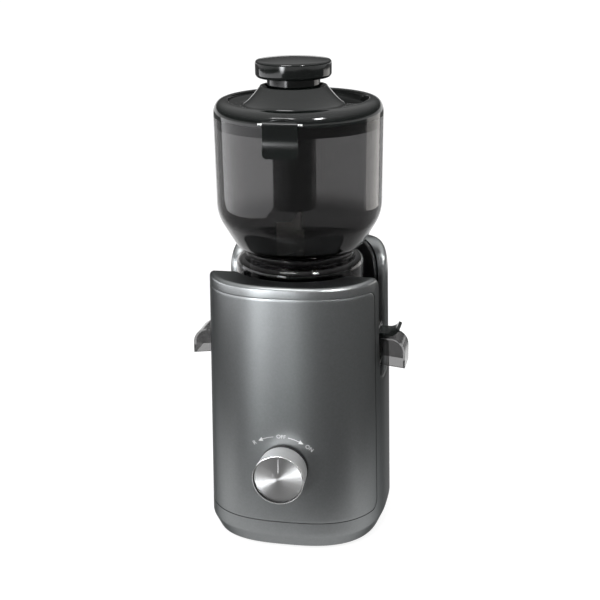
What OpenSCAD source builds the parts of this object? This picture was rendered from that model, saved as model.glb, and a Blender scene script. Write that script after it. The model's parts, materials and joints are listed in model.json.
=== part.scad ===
// Cold press juicer: a motor base with an open cradle, a lift-out juicing drum with two spouts,
// a clear hopper jar and a lid with its pusher.
// Origin: centre of the footprint on the table. +Z is up, -Y is the front, +X is the right side.

/* [Housing] */
// Width of the housing just above its foot radius
body_w_base = 164; // [160:1:172]
// Width of the housing at the top of the front wall
body_w_top = 158; // [156:1:164]
// Reach of the front face from the axis, near the table
front_d_base = 87; // [84:1:90]
// Reach of the front face from the axis, at the top of the front wall
front_d_top = 80; // [78:1:84]
// Reach of the rear face from the axis, near the table
rear_d_base = 85; // [83:1:90]
// Reach of the rear face from the axis, at the top of the front wall
rear_d_top = 82; // [80:1:84]
// Exponent of the rounded-square plan: 2 is an ellipse, more is squarer
plan_n = 2.8; // [2.4:0.1:3.4]
// Height of the front wall
front_top = 243; // [236:1:248]
// Height of the rear wall
rear_top = 257; // [252:1:262]
// Wall of the housing
skin = 3.2; // [2.6:0.1:3.6]
// Height of the rounded foot
foot_h = 14; // [10:1:16]
// How far the rounded foot draws in
foot_r = 6.5; // [4:0.5:7.5]
// Radius on the upper ends of the front wall
front_corner_r = 11; // [6:1:16]
// Radius of the sweep at the upper front of the rear wall
rear_sweep_r = 30; // [22:1:36]

/* [Slots for the spouts] */
// Distance of the front wall's ends in front of the axis
slot_front = 30; // [27:1:33]
// Distance of the rear wall's ends behind the axis
slot_rear = 36; // [33:1:38]
// Height of the slots' bottom
slot_floor = 148; // [146:0.5:150]
// Radius of the slots' lower front corner
slot_front_r = 13; // [8:1:18]
// Radius of the slots' lower rear corner
slot_rear_r = 30; // [20:1:34]

/* [Front panel] */
// Thickness of the inset front panel
panel_t = 1.6; // [1.2:0.1:2]
// Width of the groove round the panel
panel_gap = 0.4; // [0.3:0.1:0.8]
// Lower edge of the panel
panel_low = 26.6; // [20:0.2:34]
// Distance from the front wall's top to the panel's upper edge
panel_drop = 7; // [5:0.5:12]
// Distance of the panel's side edges in front of the axis
panel_side = 41; // [38:1:48]
// Radius of the panel's corners
panel_r = 9; // [5:1:14]

/* [Base] */
// Thickness of the base cover
base_t = 3; // [2.4:0.2:4]
// Height of the rubber feet under the base cover
foot_lift = 2.2; // [1.6:0.2:3.4]
// Radius of a rubber foot
pad_r = 9; // [7:0.5:11]
// Distance of the feet from the axis, along X and along Y
pad_at = 50; // [44:1:54]
// Distance of the cover screws from the axis along X
boss_x = 66; // [62:1:67]
// Distance of the cover screws from the axis along Y
boss_y = 40; // [34:1:42]

/* [Motor and gearbox] */
// Outer radius of the motor can
motor_r = 34; // [31:0.5:36]
// Height of the motor can
motor_h = 60; // [54:1:62]
// Radius of the armature core
core_r = 25.5; // [20:0.5:26]
// Radius of the motor shaft
motor_shaft_r = 3; // [2.5:0.1:3.2]
// Gear module
gear_m = 1; // [0.9:0.05:1.05]
// Teeth of the two pinions
pinion_teeth = 12; // [12:1:14]
// Teeth of the two wheels
wheel_teeth = 58; // [52:1:58]
// Face width of the gears
gear_w = 8; // [6:0.5:9]
// Wall of the gearbox case
case_wall = 2.5; // [2:0.1:3.5]
// Radius of the output shaft
drive_r = 6; // [5:0.25:6.5]
// Width across the flats of the hexagonal drive end
hex_w = 10; // [8:0.25:10]
// Radius of the cluster gear's axle
axle_r = 3; // [2.5:0.1:3.4]

/* [Cradle] */
// Inner radius of the cradle's front half
well_r = 60; // [59:0.5:61]
// Inner radius of the cradle's rear half
well_rear_r = 72.5; // [71:0.5:73]
// Wall and floor of the cradle
well_t = 2.3; // [1.8:0.1:2.6]
// Height of the cradle's floor
well_floor = 136; // [132:0.5:140]

/* [Juicing drum] */
// Outer radius of the drum
drum_r = 58; // [57:0.5:58.5]
// Wall of the drum
drum_t = 2.5; // [2:0.1:3]
// Height of the drum
drum_h = 124; // [118:1:130]
// Radius of the drum's shoulder
drum_shoulder_r = 8; // [4:0.5:10]
// Gap between the strainer's frame and the drum's wall
strainer_space = 3.45; // [2.5:0.05:4.5]
// Radial gap between the lock ring and the hole in the drum's top
mouth_gap = 0.6; // [0.5:0.1:1.6]
// Radius of the auger's hub where it turns in the drum
hub_r = 13; // [11:0.5:15]

/* [Spouts] */
// Reach of the spouts from the axis
spout_x = 99; // [94:0.5:104]
// Distance of the spouts' middle in front of the axis
spout_y = 3; // [0:0.5:5]
// Width of a spout
spout_w = 27; // [24:0.5:28]
// Height of the spouts' roof
spout_top = 183; // [178:0.5:186]
// Height of the juice spout's open lower edge
spout_low = 155; // [153:0.5:158]
// Height of the pulp spout's open lower edge
pulp_low = 159; // [155:0.5:161]
// Radius of the spouts' outer corner
spout_r = 14; // [10:1:18]
// Wall of a spout
spout_t = 2; // [1.6:0.1:2.6]
// Radius of the hole from the drum into the juice spout
juice_hole_r = 7; // [5:0.5:7.5]

/* [Hopper jar] */
// Outer radius of the jar at the lid
jar_r = 75; // [72:0.5:78]
// How much narrower the jar is where its cone begins
jar_taper = 0.8; // [0:0.2:4]
// Distance from the lock ring out to where the cone would meet the jar's underside
jar_rim_out = 8.4; // [6.6:0.2:9.6]
// Height of the cone
jar_cone_h = 34.5; // [32:0.5:38]
// Height of the jar above the cone
jar_h = 87.5; // [80:0.5:92]
// Wall of the jar
jar_t = 2.6; // [2:0.1:3]
// Radius between the cone and the wall above it
jar_fillet = 38; // [24:1:44]
// Radius between the cone and the jar's underside
jar_round = 17; // [12:0.5:17.5]
// Radial gap between the black lock ring under the jar and the strainer
lock_gap = 1.9; // [1.7:0.1:2.3]
// Height of the lock ring
lock_h = 32; // [24:1:36]

/* [Lid and pusher] */
// Height of the lid's rounded ring
ring_h = 14.5; // [12:0.5:16]
// Width of the lid's ring
ring_w = 12; // [9:0.5:15]
// Depth of the dished middle below the ring
dish_drop = 8; // [6:0.5:9]
// Distance of the chute in front of the axis
chute_y = 19.5; // [17:0.5:21]
// How much smaller the chute's flared base is than the inside of the lid's ring
chute_base_in = 11; // [10:0.5:15]
// Height of the chute above the jar's top edge
chute_h = 28; // [24:0.5:32]
// Radius of the chute's mouth
mouth_r = 27.4; // [26:0.1:29]
// Radius of the pusher's neck
neck_r = 23; // [21:0.5:24]
// Radius of the pusher's cap
cap_r = 33; // [30:0.5:36]
// Thickness of the pusher's cap
cap_h = 15.5; // [12:0.5:18]
// Visible length of the pusher's neck between the chute and the cap
neck_show = 8.5; // [6:0.5:12]
// Radius of the pusher's barrel
barrel_r = 19; // [16:0.5:20]
// Clear height from the auger's pin to the pusher's barrel
barrel_clear = 7; // [4:0.5:14]

/* [Lid latch] */
// Width of the latch
latch_w = 30; // [24:1:34]
// Height of the latch below its pin
latch_h = 27.8; // [24:0.2:30]
// Thickness of the latch
latch_t = 2.4; // [2:0.1:2.4]

/* [Auger] */
// Height of the feed wing above the auger's dome
wing_h = 43; // [36:1:45]
// Reach of the feed wing from the axis
wing_reach = 21.5; // [16:0.5:24]
// Thickness of the feed wing
wing_t = 3; // [2:0.2:4]

/* [Dial] */
// Radius of the dial
dial_r = 22.9; // [20:0.1:26]
// Height of the dial's middle
dial_z = 79.5; // [70:0.5:90]
// How far the dial stands out of the front
dial_out = 25.6; // [20:0.2:30]

/* [Clearances] */
// Radial clearance of a shaft that turns in its bore
fit_run = 0.05; // [0.03:0.01:0.08]
// Gap between pieces that move past each other
fit_gap = 0.3; // [0.3:0.05:0.5]
// Gap between fixed pieces that are let into each other
fit_set = 0.15; // [0.1:0.05:0.25]

/* [Hidden] */

$fn = 96;
eps = 0.01;
far = 400;
fine = 160;

// Heights, from the table up
base_top = foot_lift + base_t;
motor_pad_h = 3.8;
bell_z = base_top + motor_pad_h;
bell_t = 3;
can_z = bell_z + bell_t;
can_t = 2.2;
can_top = can_z + motor_h;
case_floor = can_top + case_wall;
gear1_z = case_floor + 3;
gear2_z = gear1_z + gear_w + 3.5;
case_top = gear2_z + gear_w + 4;
cover_top = case_top + case_wall;
bearing_h = 7;
bearing_step = 1.5;
bearing_z = cover_top - case_wall + bearing_step;
bearing_r = 11;
well_under = well_floor - well_t;
seal_h = 7;
seal_r = 12;
drum_top = well_floor + drum_h;
jar_low = drum_top;
cone_top = jar_low + jar_cone_h;
jar_top = cone_top + jar_h;
chute_top = jar_top + chute_h;
cap_low = chute_top + neck_show;

// Gear train
stage_y = gear_m * (pinion_teeth + wheel_teeth) / 2;
pressure = 20;
backlash = 0.24 * gear_m;
tip_h = 0.85 * gear_m;
root_h = 1.3 * gear_m;
wheel_tip_r = gear_m * wheel_teeth / 2 + tip_h;
case_r = wheel_tip_r + 2.4 + case_wall;

// Drum and auger
frame_wall = 4;
mesh_t = 0.6;
strainer_r = drum_r - drum_t - strainer_space - frame_wall - fit_set - mesh_t;
lock_r = strainer_r - lock_gap;
drum_mouth_r = lock_r + mouth_gap;
neck_wall = 2.3;
jar_neck_r = lock_r - neck_wall - fit_set - jar_t;
dome_gap = 2.35;
auger_dome_r = jar_neck_r - dome_gap;
hub_tube_t = 2.2;
drum_floor = well_floor + drum_t;
hub_tube_top = drum_floor + 9;
drum_seal_h = 2.5;
auger_disc_z = hub_tube_top + drum_seal_h + 0.6;
auger_disc_h = 3;
flight_r = strainer_r - 0.4;
auger_dome_z = drum_top - 11;
auger_top = drum_top - lock_h - 3;
frame_in = strainer_r + mesh_t + fit_set;
frame_out = frame_in + frame_wall;
strainer_top = auger_top + 5;
spout_in = drum_r - drum_t - 0.8;
gate_x = 71;
gate_z = spout_top + 4.7;
gate_r = 3.6;
gate_hole_z = spout_top - 12.2;
pulp_hole_z = gate_hole_z + 1.2;
gate_pin_r = 1.5;
wing_top = auger_dome_z + wing_h;
pin_top = wing_top + 3;
socket_r = 8.5;
hex_low = drum_floor - 1;
hex_top = auger_disc_z + 6;

// Jar, lid, hinge and latch
jar_r_low = jar_r - jar_taper;
jar_rim_r = lock_r + jar_rim_out;
ring_r = jar_r - ring_w;
chute_base_r = ring_r - chute_base_in;
seal_skirt = 9.6;
hinge_y = jar_r + 4.6;
hinge_z = jar_top + 2;
hinge_r = 4.2;
hinge_pin_r = 1.5;
hinge_half = 8.7;
ear_w = 4;
dish_z = jar_top + ring_h - dish_drop;
lid_t = 2.6;
guide_z = dish_z - lid_t - 4;
neck_low = dish_z + 2.5;
latch_pin_y = jar_r + 1.6;
latch_pin_z = jar_top + 3;
latch_pin_r = 1.2;
latch_knuckle = 2.6;
barrel_low = pin_top + barrel_clear;

// Colours
c_body = [0.33, 0.34, 0.33];
c_black = [0.06, 0.07, 0.07];
c_clear = [0.55, 0.55, 0.58, 0.4];
c_steel = [0.72, 0.72, 0.72];
c_rubber = [0.12, 0.12, 0.12];
c_white = [0.85, 0.85, 0.83];
c_copper = [0.72, 0.42, 0.2];
c_board = [0.1, 0.35, 0.2];

// ---------- shared shapes ----------

function arc(cx, cy, r, a0, a1, n = 8) =
    [for (i = [0:n]) let (a = a0 + (a1 - a0) * i / n) [cx + r * cos(a), cy + r * sin(a)]];

// Share of the taper between the foot and the top of the front wall
function rise(z) = (z - foot_h) / (front_top - foot_h);
function half_w(z) = (body_w_base + (body_w_top - body_w_base) * rise(z)) / 2;
function front_d(z) = front_d_base + (front_d_top - front_d_base) * rise(z);
function rear_d(z) = rear_d_base + (rear_d_top - rear_d_base) * rise(z);
function foot_in(z) = z >= foot_h ? 0 : foot_r * (1 - sqrt(1 - pow((foot_h - z) / foot_h, 2)));
function power(v, k) = sign(v) * pow(abs(v), k);

// Plan of the housing at height z, drawn in by s: a superellipse with its own front and rear depth
plan_steps = 72;
function plan(z, s) = [for (i = [0:plan_steps - 1])
    let (a = 360 * i / plan_steps, in = foot_in(z) + s, d = sin(a) < 0 ? front_d(z) : rear_d(z))
    [power(cos(a), 2 / plan_n) * (half_w(z) - in), power(sin(a), 2 / plan_n) * (d - in)]];

// Solid between the plans at the heights zs, in order from the lowest
module loft(zs, s) {
    n = plan_steps;
    points = [for (z = zs) for (p = plan(z, s)) [p[0], p[1], z]];
    last = (len(zs) - 1) * n;
    sides = [for (k = [0:len(zs) - 2]) for (i = [0:n - 1])
        let (a = k * n + i, b = k * n + (i + 1) % n) each [[a, b + n, b], [a, a + n, b + n]]];
    floor_face = [for (i = [0:n - 1]) i];
    top_face = [for (i = [n - 1:-1:0]) last + i];
    polyhedron(points, concat(sides, [floor_face], [top_face]), convexity = 4);
}

foot_rings = [for (u = [0, 0.2, 0.45, 0.7, 1]) foot_lift + (foot_h - foot_lift) * u];

module body_solid(s, low = foot_lift) {
    rings = [for (z = foot_rings) if (z > low) z];
    loft(concat([low], rings, [rear_top + 4]), s);
}

// A profile drawn as (Y, Z), extruded across the whole width
module along_x(w = far) {
    rotate([90, 0, 90])
        linear_extrude(w, center = true, convexity = 6)
            children();
}

// A profile drawn as (X, Z), extruded w deep round y = 0
module along_y(w) {
    rotate([90, 0, 0])
        linear_extrude(w, center = true, convexity = 6)
            children();
}

// Side view of the slot between the front and the rear wall, widened by s
module slot_shape(s) {
    low = slot_floor - s;
    rf = slot_front_r + s;
    rr = slot_rear_r + s;
    polygon(concat([[-slot_front - s, far]], arc(-slot_front - s + rf, low + rf, rf, 180, 270),
        arc(slot_rear + s - rr, low + rr, rr, 270, 360, 12), [[slot_rear + s, far]]));
}

// Side view of the housing, drawn in by s: front wall, slot and swept rear wall
module side_shape(s) {
    difference() {
        translate([-far / 2, -far / 2])
            square([far, far / 2 + rear_top - s]);
        translate([-far, front_top - s])
            square([far, far]);
        slot_shape(s);
        translate([-slot_front - front_corner_r, front_top - front_corner_r])
            difference() {
                square(front_corner_r + 1);
                circle(front_corner_r - s);
            }
        translate([slot_rear + rear_sweep_r, rear_top - rear_sweep_r])
            difference() {
                translate([-rear_sweep_r - 1, 0])
                    square(rear_sweep_r + 1);
                circle(rear_sweep_r - s, $fn = fine);
            }
    }
}

// Side view of the front panel, drawn in by s
module panel_shape(s) {
    low = panel_low + s;
    high = front_top - panel_drop - s;
    r = panel_r - s;
    translate([-far, low + r])
        square([far - panel_side - s, high - low - 2 * r]);
    translate([-far, low])
        square([far - panel_side - panel_r, high - low]);
    for (z = [low + r, high - r])
        translate([-panel_side - panel_r, z])
            circle(r, $fn = 48);
}

// Plan of the cradle, which is wider in its rear half; s is added all round
module well_plan(s) {
    circle(well_r + s, $fn = fine);
    intersection() {
        circle(well_rear_r + s, $fn = fine);
        translate([-far / 2, -s])
            square(far);
    }
}

module tube(r_out, r_in, h) {
    difference() {
        cylinder(r = r_out, h = h);
        translate([0, 0, -1])
            cylinder(r = r_in, h = h + 2);
    }
}

module at_four(x, y) {
    for (sx = [-1, 1])
        for (sy = [-1, 1])
            translate([sx * x, sy * y, 0])
                children();
}

module hex_bar(w, h) {
    cylinder(r = w / 2 / cos(30), h = h, $fn = 6);
}

// Screw with a low round head: its head's underside is at z = 0 and its shank points down
module screw(r, length, head_r, head_h) {
    cylinder(r = head_r, h = head_h, $fn = 32);
    translate([0, 0, -length])
        cylinder(r = r, h = length, $fn = 24);
}

// Involute gear outline with `teeth` teeth; `turn` is where the middle of one tooth points
function inv(a) = tan(a) * 180 / PI - a;
function tooth_half(teeth, r) = let (rp = gear_m * teeth / 2, rb = rp * cos(pressure))
    90 / teeth - backlash / 4 / rp * 180 / PI + inv(pressure) - inv(acos(min(1, rb / r)));
function gear_outline(teeth, turn) =
    let (rp = gear_m * teeth / 2, rb = rp * cos(pressure), tip = rp + tip_h, root = rp - root_h,
        low = max(rb, root), radii = [for (u = [0, 0.3, 0.65, 1]) low + (tip - low) * u])
    [for (k = [0:teeth - 1]) let (mid = turn + k * 360 / teeth)
        each concat(
            [let (a = mid - tooth_half(teeth, low)) [root * cos(a), root * sin(a)]],
            [for (r = radii) let (a = mid - tooth_half(teeth, r)) [r * cos(a), r * sin(a)]],
            [for (i = [3:-1:0]) let (r = radii[i], a = mid + tooth_half(teeth, r)) [r * cos(a), r * sin(a)]],
            [let (a = mid + tooth_half(teeth, low)) [root * cos(a), root * sin(a)]])];

module gear(teeth, turn, bore_r) {
    linear_extrude(gear_w, convexity = 4)
        difference() {
            polygon(gear_outline(teeth, turn));
            circle(bore_r);
        }
}

// ---------- housing ----------

boss_r = 4.6;
boss_h = 20;
post_x = case_r + 3.2;
post_r = 5;
gland_z = 22;
gland_r = 7;
gland_bore_r = 3.6;
switch_hole_r = 5;
screw_r = 1.5;

module boss_columns() {
    at_four(boss_x, boss_y) {
        cylinder(r = boss_r, h = base_top + boss_h, $fn = 32);
    }
    for (sx = [-1, 1])
        for (sy = [-1, 1])
            translate([sx * (boss_x + 10), sy * boss_y, (base_top + boss_h) / 2])
                cube([20, 2.4, base_top + boss_h], center = true);
}

// The shell is two mouldings, which meet at the middle of the body's depth, under the slots.
module shell_half(side) {
    difference() {
        intersection() {
            union() {
                difference() {
                    intersection() {
                        body_solid(0);
                        along_x()
                            side_shape(0);
                    }
                    intersection() {
                        body_solid(skin, foot_lift - 1);
                        along_x()
                            side_shape(skin);
                    }
                    translate([0, 0, well_under - 2])
                        linear_extrude(far)
                            well_plan(well_t + fit_gap);
                }
                intersection() {
                    body_solid(skin / 2);
                    translate([0, 0, base_top + fit_set])
                        boss_columns();
                }
            }
            translate([-far / 2, side < 0 ? -far : 0, 0])
                cube(far);
        }
        at_four(boss_x, boss_y)
            cylinder(r = screw_r, h = base_top + boss_h - 6, $fn = 24);
    }
}

module housing_front() {
    color(c_body)
        difference() {
            shell_half(-1);
            intersection() {
                difference() {
                    translate([-far / 2, -far, 0])
                        cube(far);
                    body_solid(panel_t + fit_set, 0);
                }
                along_x()
                    panel_shape(0);
            }
            translate([0, -front_d(dial_z), dial_z])
                rotate([90, 0, 0])
                    cylinder(r = switch_hole_r, h = 4 * skin, center = true);
        }
}

module housing_rear() {
    color(c_body)
        difference() {
            shell_half(1);
            translate([0, rear_d(gland_z), gland_z])
                rotate([90, 0, 0])
                    cylinder(r = gland_r + fit_set, h = 4 * skin, center = true);
        }
}

module front_panel() {
    color(c_body)
        difference() {
            intersection() {
                body_solid(0);
                along_x()
                    panel_shape(panel_gap);
            }
            body_solid(panel_t, 0);
            translate([0, -front_d(dial_z), dial_z])
                rotate([90, 0, 0])
                    cylinder(r = switch_hole_r, h = 4 * skin, center = true);
        }
}

module bowl_cradle() {
    color(c_black)
        difference() {
            union() {
                intersection() {
                    translate([0, 0, well_under])
                        linear_extrude(rear_top - well_under)
                            well_plan(well_t);
                    along_x()
                        side_shape(fit_set + 0.35);
                }
                translate([0, 0, well_floor - seal_h - 3])
                    cylinder(r = seal_r + 4, h = seal_h + 2);
                for (x = [-post_x, post_x])
                    for (y = [0, stage_y])
                        translate([x, y, cover_top])
                            cylinder(r = post_r, h = well_under - cover_top + 1, $fn = 40);
            }
            translate([0, 0, well_floor])
                linear_extrude(far)
                    well_plan(0);
            translate([0, 0, well_floor - seal_h])
                cylinder(r = seal_r, h = seal_h + 1);
            translate([0, 0, well_floor - seal_h - 4])
                cylinder(r = drive_r + 1, h = seal_h);
            for (x = [-post_x, post_x])
                for (y = [0, stage_y])
                    translate([x, y, cover_top - 1])
                        cylinder(r = screw_r, h = 12, $fn = 24);
        }
}

vent_n = 9;
vent_w = 3;
vent_pitch = 6;
vent_l = 34;

module base_cover() {
    color(c_black)
        difference() {
            union() {
                translate([0, 0, foot_lift])
                    linear_extrude(base_t, convexity = 4)
                        polygon(plan(foot_lift, skin + fit_gap));
                for (x = [-board_w / 2, board_w / 2])
                    translate([x, board_y, base_top + 3.9])
                        cube([8, 7, 8], center = true);
            }
            for (i = [0:vent_n - 1])
                translate([(i - (vent_n - 1) / 2) * vent_pitch - vent_w / 2, -62, 0])
                    cube([vent_w, vent_l, base_top + 1]);
            at_four(pad_at, pad_at)
                cylinder(r = pad_r / 3, h = base_top + 1, $fn = 32);
            at_four(boss_x, boss_y)
                cylinder(r = screw_r + 0.4, h = base_top + 1, $fn = 24);
            translate([-board_w / 2 - fit_set, board_y - board_t / 2 - fit_set, board_z])
                cube([board_w + 2 * fit_set, board_t + 2 * fit_set, board_h]);
        }
}

module rubber_feet() {
    color(c_rubber)
        at_four(pad_at, pad_at) {
            cylinder(r = pad_r, h = foot_lift, $fn = 48);
            cylinder(r = pad_r / 3, h = base_top + 1, $fn = 32);
            translate([0, 0, base_top])
                cylinder(r = pad_r / 3 + 0.8, h = 1.4, $fn = 32);
        }
}

module cover_screws() {
    color(c_steel)
        at_four(boss_x, boss_y)
            translate([0, 0, foot_lift])
                rotate([180, 0, 0])
                    screw(screw_r, base_t + 12, 3, 1.2);
}

// ---------- motor ----------

magnet_t = 4.5;
bell_boss_r = 11;
small_bearing_r = 8;
motor_screw_at = 20;
small_bearing_h = 4;
commutator_r = 9;
commutator_h = 8;
core_h = 28;
winding_h = 5;
brush_h = 6;
core_z = can_z + 18;
commutator_z = can_z + 4;
bell_top = bell_z + bell_t + 2;
brush_l = commutator_z + commutator_h - bell_top;

module motor_can() {
    color(c_steel)
        translate([0, 0, can_z])
            difference() {
                cylinder(r = motor_r, h = motor_h);
                translate([0, 0, -1])
                    cylinder(r = motor_r - can_t, h = motor_h - can_t + 1);
                translate([0, 0, motor_h - can_t - 1])
                    cylinder(r = small_bearing_r, h = can_t + 2);
                for (a = [90, 210, 330])
                    rotate(a)
                        translate([motor_screw_at, 0, motor_h - can_t - 1])
                            cylinder(r = screw_r, h = can_t + 2, $fn = 24);
            }
}

module motor_magnets() {
    color(c_black)
        translate([0, 0, core_z - 4])
            for (a = [0, 180])
                rotate(a - 62)
                    rotate_extrude(angle = 124)
                        translate([motor_r - can_t - magnet_t - 0.1, 0])
                            square([magnet_t, core_h + 8]);
}

module motor_end_bell() {
    color(c_black)
        translate([0, 0, bell_z])
            difference() {
                union() {
                    cylinder(r = motor_r, h = bell_t);
                    cylinder(r = bell_boss_r, h = bell_top - bell_z);
                }
                translate([0, 0, 1.2])
                    cylinder(r = small_bearing_r, h = bell_t + 2);
                translate([0, 0, -1])
                    cylinder(r = motor_shaft_r + 1, h = bell_t + 2);
            }
}

module motor_brushes() {
    color(c_copper)
        for (sx = [-1, 1])
            translate([sx * (commutator_r + fit_gap + 5.5), 0, bell_top + brush_l / 2])
                cube([11, brush_h, brush_l], center = true);
}

module motor_bearings() {
    color(c_steel) {
        translate([0, 0, bell_z + 1.2])
            tube(small_bearing_r, motor_shaft_r + fit_run, small_bearing_h - 1);
        translate([0, 0, can_top - small_bearing_h])
            tube(small_bearing_r, motor_shaft_r + fit_run, small_bearing_h);
    }
}

module motor_pad() {
    color(c_rubber)
        translate([0, 0, base_top])
            tube(bell_boss_r + 12, bell_boss_r, motor_pad_h);
}

module motor_screws() {
    color(c_steel)
        for (a = [90, 210, 330])
            rotate(a)
                translate([motor_screw_at, 0, case_floor])
                    screw(screw_r, case_wall + can_t, 2.8, 1.6);
}

module armature_core() {
    color(c_steel)
        translate([0, 0, core_z])
            difference() {
                cylinder(r = core_r, h = core_h);
                translate([0, 0, -1])
                    cylinder(r = motor_shaft_r, h = core_h + 2);
                for (i = [0:11])
                    rotate(i * 30 + 15)
                        translate([core_r - 9, -1.4, -1])
                            cube([12, 2.8, core_h + 2]);
            }
}

module armature_winding() {
    color(c_copper)
        for (z = [core_z - winding_h, core_z + core_h])
            translate([0, 0, z])
                tube(core_r - 4, motor_shaft_r, winding_h);
}

module commutator() {
    color(c_copper)
        translate([0, 0, commutator_z])
            difference() {
                tube(commutator_r, motor_shaft_r, commutator_h);
                for (i = [0:11])
                    rotate(i * 30)
                        translate([commutator_r - 1, -0.3, -1])
                            cube([2, 0.6, commutator_h + 2]);
            }
}

module motor_shaft() {
    color(c_steel)
        translate([0, 0, bell_z + 1.2])
            cylinder(r = motor_shaft_r, h = gear1_z + gear_w - bell_z - 1.2);
}

module motor_pinion() {
    color(c_steel)
        translate([0, 0, gear1_z])
            gear(pinion_teeth, 90, motor_shaft_r);
}

module cooling_fan() {
    fan_z = core_z + core_h + winding_h + 0.5;
    fan_h = can_top - small_bearing_h - 1 - fan_z;
    color(c_black)
        translate([0, 0, fan_z])
            difference() {
                union() {
                    cylinder(r = 6, h = fan_h);
                    cylinder(r = 24, h = 1);
                    for (i = [0:8])
                        rotate(i * 40)
                            translate([4, -0.6, 0])
                                cube([19, 1.2, fan_h]);
                }
                translate([0, 0, -1])
                    cylinder(r = motor_shaft_r, h = fan_h + 2);
            }
}

// ---------- gearbox ----------

module case_plan(r) {
    circle(r, $fn = fine);
    translate([-r, 0])
        square([2 * r, stage_y]);
    translate([0, stage_y])
        circle(r, $fn = fine);
}

ear_h = 6;
post_bite = 8;

module post_ears(h) {
    for (x = [-post_x, post_x])
        for (y = [0, stage_y])
            translate([x, y, 0])
                cylinder(r = post_r, h = h, $fn = 40);
}

module post_holes(h) {
    for (x = [-post_x, post_x])
        for (y = [0, stage_y])
            translate([x, y, -1])
                cylinder(r = screw_r, h = h + 2, $fn = 24);
}

module gearbox_case() {
    h = case_top - can_top;
    color(c_black)
        translate([0, 0, can_top])
            difference() {
                union() {
                    linear_extrude(h)
                        case_plan(case_r);
                    translate([0, 0, h - ear_h])
                        post_ears(ear_h);
                }
                translate([0, 0, case_wall])
                    linear_extrude(h)
                        case_plan(case_r - case_wall);
                translate([0, 0, -1])
                    cylinder(r = motor_shaft_r + 3, h = case_wall + 2);
                translate([0, stage_y, 0.8])
                    cylinder(r = axle_r, h = case_wall);
                for (a = [90, 210, 330])
                    rotate(a)
                        translate([motor_screw_at, 0, -1])
                            cylinder(r = screw_r, h = case_wall + 2, $fn = 24);
                translate([0, 0, h - ear_h])
                    post_holes(ear_h);
            }
}

module gearbox_cover() {
    boss = bearing_z + bearing_h - case_top;
    color(c_black)
        translate([0, 0, case_top])
            difference() {
                union() {
                    linear_extrude(case_wall)
                        case_plan(case_r);
                    post_ears(case_wall);
                    cylinder(r = bearing_r + 3, h = boss);
                }
                translate([0, 0, -1])
                    cylinder(r = drive_r + 1, h = far);
                translate([0, 0, bearing_step])
                    cylinder(r = bearing_r, h = far);
                translate([0, stage_y, -1])
                    cylinder(r = axle_r, h = case_wall);
                post_holes(case_wall);
            }
}

module gearbox_screws() {
    color(c_steel)
        for (x = [-post_x, post_x])
            for (y = [0, stage_y])
                translate([x, y, case_top - ear_h])
                    rotate([180, 0, 0])
                        screw(screw_r, ear_h + case_wall + post_bite, 2 * screw_r, 2);
}

module cluster_axle() {
    color(c_steel)
        translate([0, stage_y, can_top + 0.8])
            cylinder(r = axle_r, h = case_top + case_wall - 1 - can_top - 0.8);
}

module cluster_gear() {
    bore = axle_r + fit_run;
    color(c_white)
        translate([0, stage_y, 0]) {
            translate([0, 0, gear1_z])
                gear(wheel_teeth, 270 + 180 / wheel_teeth, bore);
            translate([0, 0, gear1_z + gear_w])
                tube(gear_m * pinion_teeth / 2 - root_h, bore, gear2_z - gear1_z - gear_w);
            translate([0, 0, gear2_z])
                gear(pinion_teeth, 270, bore);
            translate([0, 0, case_floor + fit_gap])
                tube(axle_r + 2.5, bore, gear1_z - case_floor - fit_gap);
        }
}

module output_gear() {
    color(c_steel)
        translate([0, 0, gear2_z]) {
            gear(wheel_teeth, 90 + 180 / wheel_teeth, drive_r);
            translate([0, 0, gear_w])
                tube(drive_r + 3, drive_r, case_top - gear2_z - gear_w - fit_gap);
        }
}

module output_shaft() {
    color(c_steel) {
        translate([0, 0, gear2_z])
            cylinder(r = drive_r, h = hex_low - gear2_z);
        translate([0, 0, hex_low])
            hex_bar(hex_w, hex_top - hex_low - 3);
    }
}

module output_bearing() {
    color(c_steel)
        translate([0, 0, bearing_z])
            tube(bearing_r, drive_r + fit_run, bearing_h);
}

module shaft_seal() {
    color(c_rubber)
        translate([0, 0, well_floor - seal_h])
            tube(seal_r, drive_r + fit_run, seal_h - fit_set);
}

// ---------- electrics ----------

board_w = 70;
board_h = 46;
board_t = 1.6;
board_y = 58;
board_z = base_top + 1;
switch_w = 30;
switch_d = 17;
switch_shaft_r = 3;

module control_board() {
    color(c_board)
        translate([-board_w / 2, board_y - board_t / 2, board_z])
            cube([board_w, board_t, board_h]);
    color(c_black)
        for (i = [0:2])
            translate([-22 + i * 9, board_y + board_t / 2, board_z + 14])
                cube([6, 5, 12]);
}

module board_capacitor() {
    color(c_black)
        translate([20, board_y + board_t / 2, board_z + 24])
            rotate([-90, 0, 0])
                cylinder(r = 6.5, h = 11, $fn = 40);
}

module rotary_switch() {
    back = front_d(dial_z) - skin - 1;
    color(c_black)
        difference() {
            union() {
                translate([-switch_w / 2, -back, dial_z - switch_w / 2])
                    cube([switch_w, switch_d, switch_w]);
                translate([0, -back + 1, dial_z])
                    rotate([90, 0, 0])
                        cylinder(r = switch_hole_r - fit_set, h = skin + 1);
            }
            translate([0, -back + 12, dial_z])
                rotate([90, 0, 0])
                    cylinder(r = switch_shaft_r + fit_run, h = far);
        }
}

module interlock_switch() {
    color(c_black)
        translate([seal_r + 12, -30, well_under - 10])
            cube([20, 6.4, 10]);
}

module cord_gland() {
    y0 = rear_d(gland_z);
    color(c_rubber)
        translate([0, y0 - skin - 12, gland_z])
            rotate([-90, 0, 0])
                difference() {
                    union() {
                        cylinder(r = gland_r, h = skin + 12);
                        translate([0, 0, 9.5])
                            cylinder(r = gland_r + 2, h = 2);
                    }
                    translate([0, 0, -1])
                        cylinder(r = gland_bore_r, h = skin + 14);
                }
}

// ---------- dial ----------

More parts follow.
